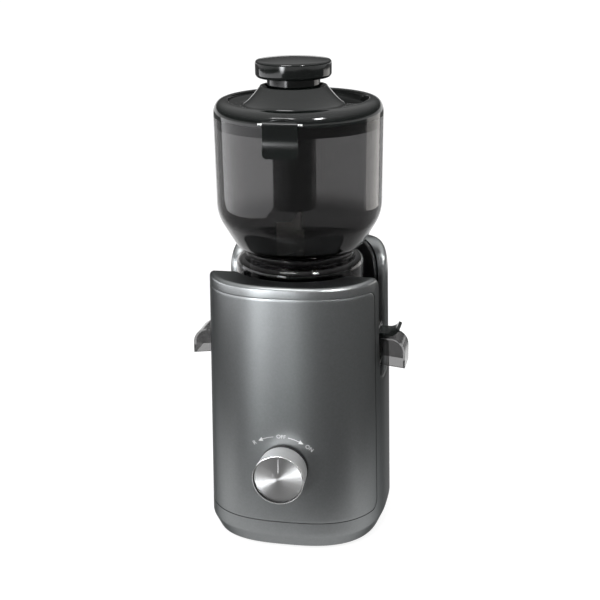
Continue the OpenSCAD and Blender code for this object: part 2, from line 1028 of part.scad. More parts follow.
dial_back = front_d(dial_z) + 1;
ring_t = 1.6;
dial_face_t = 1;

module face_y(y) {
    translate([0, -y, dial_z])
        rotate([90, 0, 0])
            children();
}

module dial_ring() {
    color(c_black)
        difference() {
            face_y(dial_back - 2)
                tube(dial_r - 0.7, switch_hole_r, 2 + ring_t);
            body_solid(-0.02, 0);
        }
}

module dial_knob() {
    depth = dial_out - ring_t - 1 - fit_gap;
    color(c_steel)
        face_y(dial_back + ring_t + fit_gap)
            difference() {
                union() {
                    cylinder(r1 = dial_r - 1, r2 = dial_r, h = depth - 0.8, $fn = fine);
                    translate([0, 0, depth - 0.8])
                        cylinder(r1 = dial_r, r2 = dial_r - 0.8, h = 0.8, $fn = fine);
                }
                translate([0, 0, depth - dial_face_t])
                    cylinder(r = dial_r - 2, h = dial_face_t + 1, $fn = fine);
                translate([0, 0, -1])
                    tube(dial_r - 3, 7, depth - 4);
                translate([0, 0, -1])
                    cylinder(r = switch_shaft_r, h = 15);
            }
}

module dial_face() {
    color([0.8, 0.8, 0.8])
        face_y(dial_back + dial_out - 1 - dial_face_t)
            difference() {
                cylinder(r = dial_r - 2 - 0.05, h = dial_face_t, $fn = fine);
                translate([-0.8, dial_r * 0.25, dial_face_t - 0.5])
                    cube([1.6, dial_r * 0.58, 1]);
            }
}

module dial_pointer() {
    color(c_black)
        face_y(dial_back + dial_out - 1 - 0.5)
            translate([-0.7, dial_r * 0.25 + 0.1, 0])
                cube([1.4, dial_r * 0.58 - 0.2, 0.45]);
}

module switch_shaft() {
    back = front_d(dial_z) - skin - 1;
    color(c_steel)
        face_y(back - 11)
            cylinder(r = switch_shaft_r, h = 11 + dial_back - back + ring_t + fit_gap + 13);
}

// ---------- juicing drum ----------

module drum_profile(s) {
    r = drum_r - s;
    top = drum_top - 4 - s;
    bend = drum_shoulder_r - s / 2;
    polygon(concat([[0, well_floor + s], [r, well_floor + s]],
        arc(r - bend, top - bend, bend, 0, 90), [[0, top]]));
}

module spout_shape(s, low) {
    tip = spout_x - s;
    top = spout_top - s;
    r = spout_r - s;
    lift = s > 0 ? spout_t : 0;
    inner = spout_x - spout_w + 4;
    polygon(concat([[spout_in, low + 2.6 + lift], [inner, low + 2.6 + lift],
        [inner, s > 0 ? low - 1 : low + 2.6], [tip, s > 0 ? low - 1 : low]],
        arc(tip - r, top - r, r, 0, 90), [[spout_in, top]]));
}

module in_spout(side) {
    translate([0, -spout_y, 0])
        mirror([side < 0 ? 1 : 0, 0, 0])
            children();
}

module drum_bowl() {
    neck_r = drum_mouth_r + 3.5;
    color(c_clear)
        difference() {
            union() {
                rotate_extrude($fn = fine)
                    drum_profile(0);
                translate([0, 0, drum_top - 8])
                    cylinder(r = neck_r, h = 8, $fn = fine);
                for (side = [-1, 1])
                    in_spout(side)
                        along_y(spout_w)
                            spout_shape(0, side < 0 ? pulp_low : spout_low);
                for (y = [-spout_w / 2 + 1, spout_w / 2 - 1])
                    in_spout(1)
                        translate([gate_x, y, gate_z])
                            rotate([90, 0, 0])
                                cylinder(r = gate_r, h = 2, center = true, $fn = 40);
                for (y = [-spout_w / 2 + 1, spout_w / 2 - 1])
                    in_spout(1)
                        translate([gate_x, y, spout_top + 1])
                            cube([2 * gate_r, 2, 6], center = true);
            }
            for (side = [-1, 1])
                in_spout(side)
                    difference() {
                        along_y(spout_w - 2 * spout_t)
                            spout_shape(spout_t, side < 0 ? pulp_low : spout_low);
                        translate([-drum_r, -drum_r, 0])
                            cube([2 * drum_r, 2 * drum_r, far]);
                    }
            difference() {
                rotate_extrude($fn = fine)
                    drum_profile(drum_t);
                translate([0, 0, well_floor])
                    cylinder(r = hub_r + fit_gap + hub_tube_t, h = hub_tube_top - well_floor);
            }
            translate([0, 0, drum_top - 16])
                cylinder(r = drum_mouth_r, h = 20, $fn = fine);
            translate([0, 0, well_floor - 1])
                cylinder(r = hub_r + fit_gap, h = 20);
            in_spout(1)
                translate([drum_r - 8, 0, gate_hole_z])
                    rotate([0, 90, 0])
                        cylinder(r = juice_hole_r, h = 9);
            in_spout(-1)
                translate([drum_r - 8, 0, pulp_hole_z])
                    rotate([0, 90, 0])
                        cylinder(r = juice_hole_r + 1.2, h = 9);
            in_spout(1)
                translate([gate_x - 11, -3.5, spout_top - spout_t - 1])
                    cube([16, 7, spout_t + 2]);
            in_spout(1)
                translate([gate_x, 0, gate_z])
                    rotate([90, 0, 0])
                        cylinder(r = gate_pin_r, h = spout_w + 2, center = true, $fn = 32);
        }
}

module drum_seal() {
    color(c_rubber)
        translate([0, 0, hub_tube_top])
            tube(hub_r + fit_gap + hub_tube_t, hub_r + fit_gap, drum_seal_h);
}

module pulp_seal() {
    color(c_rubber)
        in_spout(-1)
            translate([drum_r - 5, 0, pulp_hole_z])
                rotate([0, 90, 0])
                    tube(juice_hole_r + 1.2, juice_hole_r - 0.6, 8);
}

strainer_ribs = 8;

module strainer_frame() {
    low = drum_floor;
    color(c_black) {
        translate([0, 0, low])
            tube(frame_out, frame_in, 14);
        translate([0, 0, strainer_top - 8])
            tube(frame_out, frame_in, 8);
        for (i = [0:strainer_ribs - 1])
            rotate(i * 360 / strainer_ribs + 22.5)
                translate([frame_in, -1.5, low + 10])
                    cube([3, 3, strainer_top - low - 14]);
    }
}

module strainer_mesh() {
    color(c_steel)
        translate([0, 0, drum_floor])
            tube(strainer_r + mesh_t, strainer_r, strainer_top - drum_floor);
}

module gate_pin() {
    color(c_steel)
        in_spout(1)
            translate([gate_x, 0, gate_z])
                rotate([90, 0, 0])
                    cylinder(r = gate_pin_r, h = spout_w, center = true, $fn = 32);
}

lever_r = 12.5;
lever_t = 3;
lever_end = 28;

module gate_lever() {
    bend_x = spout_x - 4.3 - lever_r;
    low = spout_top + 0.7;
    w = spout_w - 4.8;
    color(c_black)
        in_spout(1)
            difference() {
                union() {
                    along_y(w) {
                        translate([gate_x, gate_z])
                            circle(gate_r - 0.2, $fn = 40);
                        translate([gate_x, low])
                            square([bend_x - gate_x, lever_t]);
                        polygon(concat(arc(bend_x, low + lever_r, lever_r, -90, -lever_end),
                            arc(bend_x, low + lever_r, lever_r - lever_t, -lever_end, -90)));
                    }
                    along_y(6)
                        polygon([[gate_x - 2, gate_z], [gate_x + 2, gate_z - 2],
                            [drum_r + 7.5, gate_hole_z], [drum_r + 3.4, gate_hole_z]]);
                    translate([drum_r + 3.4, 0, gate_hole_z])
                        rotate([0, 90, 0])
                            cylinder(r = 3, h = 3, $fn = 32);
                }
                translate([gate_x, 0, gate_z])
                    rotate([90, 0, 0])
                        cylinder(r = gate_pin_r + fit_run, h = far, center = true, $fn = 32);
            }
}

module gate_plug() {
    color(c_rubber)
        in_spout(1)
            translate([drum_r + 0.4, 0, gate_hole_z])
                rotate([0, 90, 0])
                    cylinder(r = juice_hole_r + 0.6, h = 3, $fn = 48);
}

// ---------- auger ----------

flight_turns = 1.6;
flight_w = 6;
flight_slices = 26;
auger_core_r = 24;

module auger_screw() {
    flight_h = auger_top - auger_disc_z - auger_disc_h;
    color([0.16, 0.17, 0.17])
        difference() {
            union() {
                translate([0, 0, drum_floor + 0.6])
                    cylinder(r = hub_r, h = auger_disc_z - drum_floor);
                translate([0, 0, auger_disc_z])
                    cylinder(r = flight_r, h = auger_disc_h);
                translate([0, 0, auger_disc_z + auger_disc_h])
                    cylinder(r1 = auger_core_r + 8, r2 = auger_core_r, h = flight_h);
                translate([0, 0, auger_disc_z + auger_disc_h / 2])
                    linear_extrude(flight_h + auger_disc_h / 2, twist = -360 * flight_turns,
                        slices = flight_slices, convexity = 6)
                        for (a = [0, 180])
                            rotate(a)
                                translate([0, -flight_w / 2])
                                    square([flight_r - 0.1, flight_w]);
                translate([0, 0, auger_top])
                    cylinder(r1 = auger_dome_r, r2 = 12, h = auger_dome_z - auger_top);
            }
            translate([0, 0, drum_floor])
                cylinder(r = socket_r, h = hex_top - drum_floor);
        }
}

module auger_socket() {
    color(c_steel)
        translate([0, 0, drum_floor + 0.6])
            difference() {
                cylinder(r = socket_r, h = hex_top - drum_floor - 0.6);
                translate([0, 0, -1])
                    hex_bar(hex_w + 2 * fit_gap, hex_top - drum_floor - 2);
            }
}

thread_r = 4.6;
thread_n = 5;

module feed_wing() {
    shoulder = wing_h - 10;
    thread_h = wing_h - 20;
    color([0.62, 0.62, 0.58])
        translate([0, 0, auger_dome_z]) {
            translate([0, 0, 4])
                rotate([90, 0, 0])
                    linear_extrude(wing_t, center = true)
                        polygon([[0, 6], [-wing_reach + 2.4, -4], [-wing_reach, 1],
                            [-wing_reach, shoulder - 4], [-wing_reach + 14, shoulder - 3],
                            [-2, wing_h - 4], [0, wing_h - 4]]);
            cylinder(r = thread_r - 1.4, h = thread_h + 4, $fn = 32);
            for (i = [0:thread_n - 1])
                translate([0, 0, 6 + i * thread_h / thread_n])
                    cylinder(r1 = thread_r - 1.2, r2 = thread_r, h = 2.4, $fn = 32);
            cylinder(r = 1.8, h = pin_top - auger_dome_z, $fn = 24);
        }
}

// ---------- hopper jar ----------

cone_a = atan2(jar_cone_h, jar_r_low - jar_rim_r);
cone_turn = 90 - cone_a;
rib_reach = 5;
rib_w = 2.4;
rib_gap = 10;
rib_x = 4;
jar_flange_r = lock_r + 3.1;

function jar_side(s) =
    let (t = jar_fillet * tan(cone_turn / 2), t_low = jar_round * tan(cone_a / 2))
    concat(arc(jar_rim_r - t_low, jar_low + jar_round, jar_round - s, -90, -cone_turn),
        arc(jar_r_low - jar_fillet, cone_top + t, jar_fillet - s, -cone_turn, 0, 10),
        [[jar_r - s, jar_top]]);

function reversed(v) = [for (i = [len(v) - 1:-1:0]) v[i]];

module hinge_ears() {
    for (sx = [-1, 1])
        translate([sx * (hinge_half + fit_gap + ear_w / 2), hinge_y, hinge_z])
            rotate([0, 90, 0])
                cylinder(r = hinge_r, h = ear_w, center = true, $fn = 48);
    for (sx = [-1, 1])
        translate([sx * (hinge_half + fit_gap + ear_w / 2), 0, 0])
            along_x(ear_w)
                polygon([[jar_r - 1, jar_top - 14], [jar_r - 1, jar_top - 1.5],
                    [hinge_y - hinge_r + 0.6, jar_top - 0.5], [hinge_y, jar_top - 1],
                    [hinge_y + hinge_r - 0.3, jar_top + 1]]);
}

module hopper_jar() {
    neck_out = jar_neck_r + jar_t;
    color(c_clear)
        difference() {
            union() {
                rotate_extrude($fn = fine)
                    polygon(concat(jar_side(0), reversed(jar_side(jar_t))));
                translate([0, 0, jar_low - 14])
                    tube(neck_out, jar_neck_r, 16);
                translate([0, 0, jar_low])
                    tube(jar_flange_r, jar_neck_r, 2);
                intersection() {
                    rotate_extrude($fn = fine)
                        polygon(concat([[0, jar_low]], jar_side(jar_t / 2), [[0, jar_top]]));
                    for (sx = [-1, 1])
                        translate([rib_x + sx * rib_gap / 2 - rib_w / 2, jar_r - jar_t - rib_reach, cone_top])
                            cube([rib_w, 20, jar_h - seal_skirt - 6]);
                }
                hinge_ears();
                translate([0, 0, jar_top - 16])
                    intersection() {
                        tube(jar_r + 1.2, jar_r - 1, 3);
                        translate([-10, -jar_r - 5, -1])
                            cube([20, 20, 5]);
                    }
            }
            translate([0, hinge_y, hinge_z])
                rotate([0, 90, 0])
                    cylinder(r = hinge_pin_r, h = 60, center = true, $fn = 32);
        }
}

module jar_lock_ring() {
    color(c_black)
        translate([0, 0, jar_low - lock_h])
            tube(lock_r, lock_r - neck_wall, lock_h);
}

module jar_gasket() {
    color(c_rubber)
        translate([0, 0, jar_low - lock_h - 2])
            tube(lock_r, lock_r - neck_wall - 0.8, 2);
}

module lid_hinge_pin() {
    color(c_steel)
        translate([0, hinge_y, hinge_z])
            rotate([0, 90, 0])
                cylinder(r = hinge_pin_r, h = 2 * (hinge_half + fit_gap + ear_w), center = true, $fn = 32);
}

// ---------- lid and pusher ----------

ring_inner_z = jar_top + ring_h;

// Half section of the lid's ring and its dished middle
module lid_section() {
    polygon(concat([[ring_r - 1.5, jar_top], [jar_r, jar_top], [jar_r, jar_top + 1.5]],
        [for (i = [0:10]) let (a = 9 * i)
            [ring_r + (jar_r - ring_r) * power(cos(a), 0.7), jar_top + 1.5 + (ring_h - 1.5) * sin(a)]],
        [[ring_r - 1, ring_inner_z - 0.4], [ring_r - 1.5, dish_z]]));
    translate([0, dish_z - lid_t])
        square([ring_r, lid_t]);
}

// Half section of the chute, with a concave flare from the dish up to the mouth
module chute_section() {
    top_r = mouth_r + 2;
    flare_h = chute_top - 0.6 - dish_z;
    polygon(concat([[0, guide_z], [neck_r + 3, guide_z], [neck_r + 3, dish_z - 1], [chute_base_r, dish_z - 1],
        [chute_base_r, dish_z]],
        [for (i = [1:14]) let (u = i / 14)
            [chute_base_r - (chute_base_r - top_r) * u, dish_z + flare_h * pow(u, 1.45)]],
        [[top_r - 0.6, chute_top], [0, chute_top]]));
}

module chute_bore() {
    translate([0, -chute_y, 0]) {
        translate([0, 0, guide_z - 1])
            cylinder(r = barrel_r + 0.5, h = far);
        translate([0, 0, neck_low])
            cylinder(r = neck_r + fit_gap, h = far);
        translate([0, 0, chute_top - 9])
            cylinder(r1 = neck_r + fit_gap, r2 = mouth_r, h = 8.2);
        translate([0, 0, chute_top - 0.8 - eps])
            cylinder(r = mouth_r, h = far);
    }
}

module latch_pocket() {
    translate([0, -latch_pin_y, latch_pin_z])
        rotate([0, 90, 0])
            cylinder(r = latch_knuckle + fit_gap + 0.4, h = latch_w + 2 * fit_gap, center = true, $fn = 48);
    translate([-latch_w / 2 - fit_gap, -latch_pin_y - 12, jar_top - 1])
        cube([latch_w + 2 * fit_gap, 12 + 0.4, ring_h]);
}

module lid_cover() {
    color(c_black)
        difference() {
            union() {
                rotate_extrude($fn = fine)
                    lid_section();
                translate([0, -chute_y, 0])
                    rotate_extrude($fn = fine)
                        chute_section();
                translate([0, hinge_y, hinge_z])
                    rotate([0, 90, 0])
                        cylinder(r = hinge_r - 0.2, h = 2 * hinge_half, center = true, $fn = 48);
                translate([-hinge_half, jar_r - 6, jar_top + 0.4])
                    cube([2 * hinge_half, hinge_y - jar_r + 6, 4.4]);
            }
            chute_bore();
            latch_pocket();
            translate([0, hinge_y, hinge_z])
                rotate([0, 90, 0])
                    cylinder(r = hinge_pin_r + fit_run, h = 60, center = true, $fn = 32);
            translate([0, -latch_pin_y, latch_pin_z])
                rotate([0, 90, 0])
                    cylinder(r = latch_pin_r, h = latch_w + 8, center = true, $fn = 32);
        }
}

module lid_seal() {
    r_out = jar_r - jar_t - 0.7;
    color(c_rubber)
        translate([0, 0, jar_top - seal_skirt])
            difference() {
                cylinder(r = r_out, h = seal_skirt, $fn = fine);
                translate([0, 0, -1])
                    cylinder(r = r_out - 2.4, h = seal_skirt + 2, $fn = fine);
            }
}

module latch_pin() {
    color(c_steel)
        translate([0, -latch_pin_y, latch_pin_z])
            rotate([0, 90, 0])
                cylinder(r = latch_pin_r, h = latch_w + 8, center = true, $fn = 32);
}

module lid_latch() {
    out = latch_pin_y + latch_knuckle - 0.3;
    bend_z = latch_pin_z - latch_h * 0.62;
    tip_z = latch_pin_z - latch_h;
    r = 4;
    color(c_black)
        difference() {
            intersection() {
                union() {
                    translate([0, -latch_pin_y, latch_pin_z])
                        rotate([0, 90, 0])
                            cylinder(r = latch_knuckle, h = latch_w, center = true, $fn = 48);
                    along_x(latch_w)
                        polygon([[-out, latch_pin_z], [-out + latch_t, latch_pin_z],
                            [-out + latch_t, bend_z], [-out + latch_t - 2.2, tip_z], [-out - 2.5, tip_z],
                            [-out, bend_z]]);
                }
                along_y(far) {
                    translate([-latch_w / 2, tip_z + r])
                        square([latch_w, far]);
                    translate([-latch_w / 2 + r, tip_z - 1])
                        square([latch_w - 2 * r, far]);
                    for (sx = [-1, 1])
                        translate([sx * (latch_w / 2 - r), tip_z + r])
                            circle(r, $fn = 40);
                }
            }
            translate([0, -latch_pin_y, latch_pin_z])
                rotate([0, 90, 0])
                    cylinder(r = latch_pin_r + fit_run, h = far, center = true, $fn = 32);
        }
}

module pusher_stem() {
    color(c_black)
        translate([0, -chute_y, 0])
            difference() {
                union() {
                    translate([0, 0, barrel_low + 2])
                        cylinder(r = barrel_r, h = neck_low - barrel_low - 2);
                    translate([0, 0, barrel_low])
                        cylinder(r1 = barrel_r - 2, r2 = barrel_r, h = 2);
                    translate([0, 0, neck_low])
                        cylinder(r = neck_r, h = cap_low - neck_low);
                }
                translate([0, 0, barrel_low + 4])
                    cylinder(r = barrel_r - 2.5, h = far);
            }
}

module pusher_cap() {
    edge = 2.2;
    dome = 4;
    side_h = cap_h - dome;
    color(c_black)
        translate([0, -chute_y, cap_low])
            rotate_extrude($fn = fine)
                polygon(concat([[0, 0], [neck_r - 1, 0]],
                    arc(cap_r - 5, 5, 5, -90, 0, 6),
                    arc(cap_r - edge, side_h - edge, edge, 0, 70, 5),
                    [for (i = [1:8]) let (u = 1 - i / 8)
                        [(cap_r - edge) * u, side_h + dome * (1 - u * u)]]));
}

housing_front();
housing_rear();
front_panel();
bowl_cradle();
base_cover();
rubber_feet();
cover_screws();
motor_can();
motor_magnets();
motor_end_bell();
motor_brushes();
motor_bearings();
motor_pad();
motor_screws();
gearbox_case();
gearbox_cover();
gearbox_screws();
cluster_axle();
output_bearing();
shaft_seal();
control_board();
board_capacitor();
rotary_switch();
interlock_switch();
cord_gland();
armature_core();
armature_winding();
commutator();
motor_shaft();
motor_pinion();
cooling_fan();
cluster_gear();
output_gear();
output_shaft();
dial_ring();
dial_knob();
dial_face();
dial_pointer();
switch_shaft();
drum_bowl();
drum_seal();
pulp_seal();
strainer_frame();
strainer_mesh();
gate_pin();
gate_lever();
gate_plug();
auger_screw();
auger_socket();
feed_wing();
hopper_jar();
jar_lock_ring();
jar_gasket();
lid_hinge_pin();
lid_cover();
lid_seal();
latch_pin();
lid_latch();
pusher_stem();
pusher_cap();
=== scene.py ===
# %% [markdown]
# A cold press juicer: a gunmetal motor base, a smoky see-through drum with two spouts, a smoky jar
# and a gloss black lid with its pusher. The construction comes packed as a frame of named nodes on
# named bodies. This lesson puts smooth, finished surfaces on it, one piece at a time.

import json
import math

import bmesh
import bpy
import numpy as np
from mathutils import Matrix, Vector


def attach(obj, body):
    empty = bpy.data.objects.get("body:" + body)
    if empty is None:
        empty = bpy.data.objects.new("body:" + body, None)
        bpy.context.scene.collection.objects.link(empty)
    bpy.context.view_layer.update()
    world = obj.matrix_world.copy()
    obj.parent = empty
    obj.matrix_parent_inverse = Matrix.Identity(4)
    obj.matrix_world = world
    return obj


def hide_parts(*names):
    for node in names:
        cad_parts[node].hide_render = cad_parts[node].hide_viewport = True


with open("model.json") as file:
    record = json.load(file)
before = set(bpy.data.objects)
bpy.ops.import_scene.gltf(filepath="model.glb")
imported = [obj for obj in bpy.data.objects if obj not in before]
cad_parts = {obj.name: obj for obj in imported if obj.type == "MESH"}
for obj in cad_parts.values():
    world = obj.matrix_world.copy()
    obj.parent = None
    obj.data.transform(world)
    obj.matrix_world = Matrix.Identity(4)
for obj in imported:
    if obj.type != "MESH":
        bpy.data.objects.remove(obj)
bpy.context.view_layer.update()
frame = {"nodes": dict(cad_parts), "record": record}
nodes = frame["nodes"]
scene = bpy.context.scene
scene.view_settings.view_transform = "Standard"
MM = 0.001

# %% [markdown]
# The camera stands a little to the right of the front and looks down on the juicer, as a person does
# who stands before the worktop. A long lens keeps the body's sides nearly parallel.

# %% Camera
camera = bpy.data.objects.new("camera", bpy.data.cameras.new("camera"))
scene.collection.objects.link(camera)
camera.data.sensor_width = 36
camera.data.lens = 75.18
camera.location = (0.2205, -1.0777, 0.561)
turn, pitch, roll = math.radians(11.6), math.radians(90 - 17.7), math.radians(-0.71)
camera.rotation_euler = (
    Matrix.Rotation(turn, 3, "Z") @ Matrix.Rotation(pitch, 3, "X") @ Matrix.Rotation(roll, 3, "Z")
).to_euler()
scene.camera = camera
print("camera lens", round(camera.data.lens, 2), "mm")

# %% [markdown]
# Two helpers do most of the work. A grid of points becomes a mesh of quads, whose rows or columns
# may close into a ring. Doubles are merged after that, so that a pole, where a whole row falls on
# one point, or a seam leaves no gap, and the faces are turned outwards.

# %% Grid surfaces
def grid_faces(rows, columns, close_rows=False, close_columns=True):
    """Quads between neighbouring points of a grid: corner (i, j), (i, j+1), (i+1, j+1), (i+1, j)."""
    index = np.arange(rows * columns).reshape(rows, columns)
    if close_columns:
        index = np.hstack([index, index[:, :1]])
    if close_rows:
        index = np.vstack([index, index[:1]])
    corners = [index[:-1, :-1], index[:-1, 1:], index[1:, 1:], index[1:, :-1]]
    return np.stack(corners, -1).reshape(-1, 4)


def piece(name, grids, body, material, replaces=(), sharp=35):
    """One object from several grids, each a (points in mm, faces) pair; sharp is the crease angle."""
    points, faces, start = [], [], 0
    for grid_points, grid_quads in grids:
        flat = np.asarray(grid_points, float).reshape(-1, 3)
        points.append(flat)
        faces.append(np.asarray(grid_quads) + start)
        start += len(flat)
    used, faces = np.unique(np.vstack(faces), return_inverse=True)
    points = np.vstack(points)[used] * MM
    mesh = bpy.data.meshes.new(name)
    mesh.from_pydata(points.tolist(), [], faces.reshape(-1, 4).tolist())
    work = bmesh.new()
    work.from_mesh(mesh)
    bmesh.ops.remove_doubles(work, verts=work.verts, dist=1e-6)
    bmesh.ops.dissolve_degenerate(work, edges=work.edges, dist=1e-7)
    bmesh.ops.recalc_face_normals(work, faces=work.faces)
    work.to_mesh(mesh)
    work.free()
    mesh.shade_smooth()
    mesh.set_sharp_from_angle(angle=math.radians(sharp))
    mesh.materials.append(material)
    obj = bpy.data.objects.new(name, mesh)
    scene.collection.objects.link(obj)
    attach(obj, body)
    if replaces:
        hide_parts(*replaces)
    print(name, len(mesh.vertices), "vertices", len(mesh.polygons), "faces")
    return obj


def spun(profile, segments=160, centre=(0, 0), close=True):
    """A profile of (radius, height) turned round a vertical line through centre."""
    profile = np.asarray(profile, float)
    around = np.linspace(0, 2 * math.pi, segments, endpoint=False)
    radius, height = profile[:, :1], profile[:, 1:]
    points = np.stack([centre[0] + radius * np.cos(around), centre[1] + radius * np.sin(around),
                       height + 0 * around], -1)
    return points, grid_faces(len(profile), segments, close_rows=close)


print("a closed grid of 3 rows and 8 columns has", len(grid_faces(3, 8)), "quads")

# %% [markdown]
# Materials. Every finish is a small node tree on Object coordinates, so a pattern keeps its real
# size whatever the piece's shape.

# %% Node helpers
def new_material(name):
    material = bpy.data.materials.new(name)
    material.use_nodes = True
    tree = material.node_tree
    shader = next(n for n in tree.nodes if n.type == "BSDF_PRINCIPLED")
    return material, tree, shader


def node(tree, kind, **values):
    made = tree.nodes.new(kind)
    for key, value in values.items():
        setattr(made, key, value)
    return made


def grain_group():
    """Fine mottling: two noises of different size; Mask runs from 0 to 1, Height is for a bump."""
    group = bpy.data.node_groups.new("fine_grain", "ShaderNodeTree")
    face = group.interface
    face.new_socket("Vector", in_out="INPUT", socket_type="NodeSocketVector")
    for label, value in (("Fine", 2200.0), ("Broad", 60.0)):
        socket = face.new_socket(label, in_out="INPUT", socket_type="NodeSocketFloat")
        socket.default_value = value
    face.new_socket("Mask", in_out="OUTPUT", socket_type="NodeSocketFloat")
    face.new_socket("Height", in_out="OUTPUT", socket_type="NodeSocketFloat")
    start, end = node(group, "NodeGroupInput"), node(group, "NodeGroupOutput")
    fine, broad = node(group, "ShaderNodeTexNoise"), node(group, "ShaderNodeTexNoise")
    fine.inputs["Detail"].default_value = 2
    broad.inputs["Detail"].default_value = 3
    for noise, label in ((fine, "Fine"), (broad, "Broad")):
        group.links.new(start.outputs["Vector"], noise.inputs["Vector"])
        group.links.new(start.outputs[label], noise.inputs["Scale"])
    mix = node(group, "ShaderNodeMath", operation="MULTIPLY")
    group.links.new(fine.outputs["Fac"], mix.inputs[0])
    group.links.new(broad.outputs["Fac"], mix.inputs[1])
    group.links.new(mix.outputs[0], end.inputs["Mask"])
    group.links.new(fine.outputs["Fac"], end.inputs["Height"])
    return group


GRAIN = grain_group()


def grained(name, dark, light, rough, metallic=0.0, fine=2200.0, broad=60.0, bump=0.00002, specular=0.5,
            tint=1.0):
    """An opaque finish whose colour, roughness and relief vary with the grain group's mask."""
    material, tree, shader = new_material(name)
    place = node(tree, "ShaderNodeTexCoord")
    grain = node(tree, "ShaderNodeGroup", node_tree=GRAIN)
    grain.inputs["Fine"].default_value = fine
    grain.inputs["Broad"].default_value = broad
    tree.links.new(place.outputs["Object"], grain.inputs["Vector"])
    colour = node(tree, "ShaderNodeValToRGB")
    colour.color_ramp.elements[0].position, colour.color_ramp.elements[1].position = 0.12, 0.42
    colour.color_ramp.elements[0].color = (*dark, 1)
    colour.color_ramp.elements[1].color = (*light, 1)
    tree.links.new(grain.outputs["Mask"], colour.inputs["Fac"])
    tree.links.new(colour.outputs["Color"], shader.inputs["Base Color"])
    gloss = node(tree, "ShaderNodeMapRange")
    gloss.inputs["From Min"].default_value, gloss.inputs["From Max"].default_value = 0.1, 0.45
    gloss.inputs["To Min"].default_value, gloss.inputs["To Max"].default_value = rough
    tree.links.new(grain.outputs["Mask"], gloss.inputs["Value"])
    tree.links.new(gloss.outputs["Result"], shader.inputs["Roughness"])
    relief = node(tree, "ShaderNodeBump")
    relief.inputs["Strength"].default_value = 0.6
    relief.inputs["Distance"].default_value = bump
    tree.links.new(grain.outputs["Height"], relief.inputs["Height"])
    tree.links.new(relief.outputs["Normal"], shader.inputs["Normal"])
    shader.inputs["Metallic"].default_value = metallic
    shader.inputs["Specular IOR Level"].default_value = specular
    shader.inputs["Specular Tint"].default_value = (tint, tint, tint, 1)
    return material


def smoky(name, tint, rough, painted_shade=None):
    """See-through plastic with a smoke tint that varies a little with the moulding's flow. The last
    argument, (low, high, share), paints shade: below the height low, in mm, the tint is that share of what it
    is over high."""
    material, tree, shader = new_material(name)
    place = node(tree, "ShaderNodeTexCoord")
    grain = node(tree, "ShaderNodeGroup", node_tree=GRAIN)
    grain.inputs["Fine"].default_value = 400.0
    grain.inputs["Broad"].default_value = 25.0
    tree.links.new(place.outputs["Object"], grain.inputs["Vector"])
    colour = node(tree, "ShaderNodeValToRGB")
    colour.color_ramp.elements[0].position, colour.color_ramp.elements[1].position = 0.1, 0.45
    colour.color_ramp.elements[0].color = (*[c * 0.96 for c in tint], 1)
    colour.color_ramp.elements[1].color = (*tint, 1)
    tree.links.new(grain.outputs["Mask"], colour.inputs["Fac"])
    tree.links.new(colour.outputs["Color"], shader.inputs["Base Color"])
    # Painted shade: below the height low the smoke tint is scaled down to a share of itself.
    if painted_shade:
        low, high, share = painted_shade
        apart = node(tree, "ShaderNodeSeparateXYZ")
        tree.links.new(place.outputs["Object"], apart.inputs[0])
        level = node(tree, "ShaderNodeMapRange", interpolation_type="SMOOTHSTEP")
        level.inputs["From Min"].default_value, level.inputs["From Max"].default_value = low * MM, high * MM
        level.inputs["To Min"].default_value = share
        tree.links.new(apart.outputs["Z"], level.inputs["Value"])
        painted_darker = node(tree, "ShaderNodeVectorMath", operation="SCALE")
        tree.links.new(colour.outputs["Color"], painted_darker.inputs[0])
        tree.links.new(level.outputs["Result"], painted_darker.inputs["Scale"])
        tree.links.new(painted_darker.outputs["Vector"], shader.inputs["Base Color"])
    gloss = node(tree, "ShaderNodeMapRange")
    gloss.inputs["To Min"].default_value, gloss.inputs["To Max"].default_value = rough, rough + 0.02
    tree.links.new(grain.outputs["Mask"], gloss.inputs["Value"])
    tree.links.new(gloss.outputs["Result"], shader.inputs["Roughness"])
    shader.inputs["Transmission Weight"].default_value = 1.0
    shader.inputs["IOR"].default_value = 1.3
    return material


print("grain group:", GRAIN.name)

# %% [markdown]
# The finishes follow the real materials: a metallic paint whose flakes mottle it faintly, glossy and
# matt black plastics, a smoky clear plastic with painted shade that darkens it towards the jar's neck,
# and what the gears, the motor and the seals are made of. Each packed slot takes one of them.

# %% Finishes
GUNMETAL = grained("gunmetal_paint", (0.228, 0.236, 0.238), (0.258, 0.267, 0.270), (0.31, 0.35),
                   metallic=1.0, fine=3400, broad=500, bump=0.000004, tint=0.2)
GLOSS_BLACK = grained("gloss_black_plastic", (0.004, 0.005, 0.0045), (0.006, 0.0075, 0.007), (0.08, 0.12),
                      fine=900, broad=300, bump=0.000002, specular=0.45)
MATTE_BLACK = grained("matte_black_plastic", (0.012, 0.012, 0.012), (0.02, 0.02, 0.02), (0.42, 0.6),
                      fine=2500, broad=80, bump=0.00002)
SMOKE_TINT = (0.266, 0.264, 0.265)
SMOKE = smoky("smoky_clear_plastic", SMOKE_TINT, 0.02)
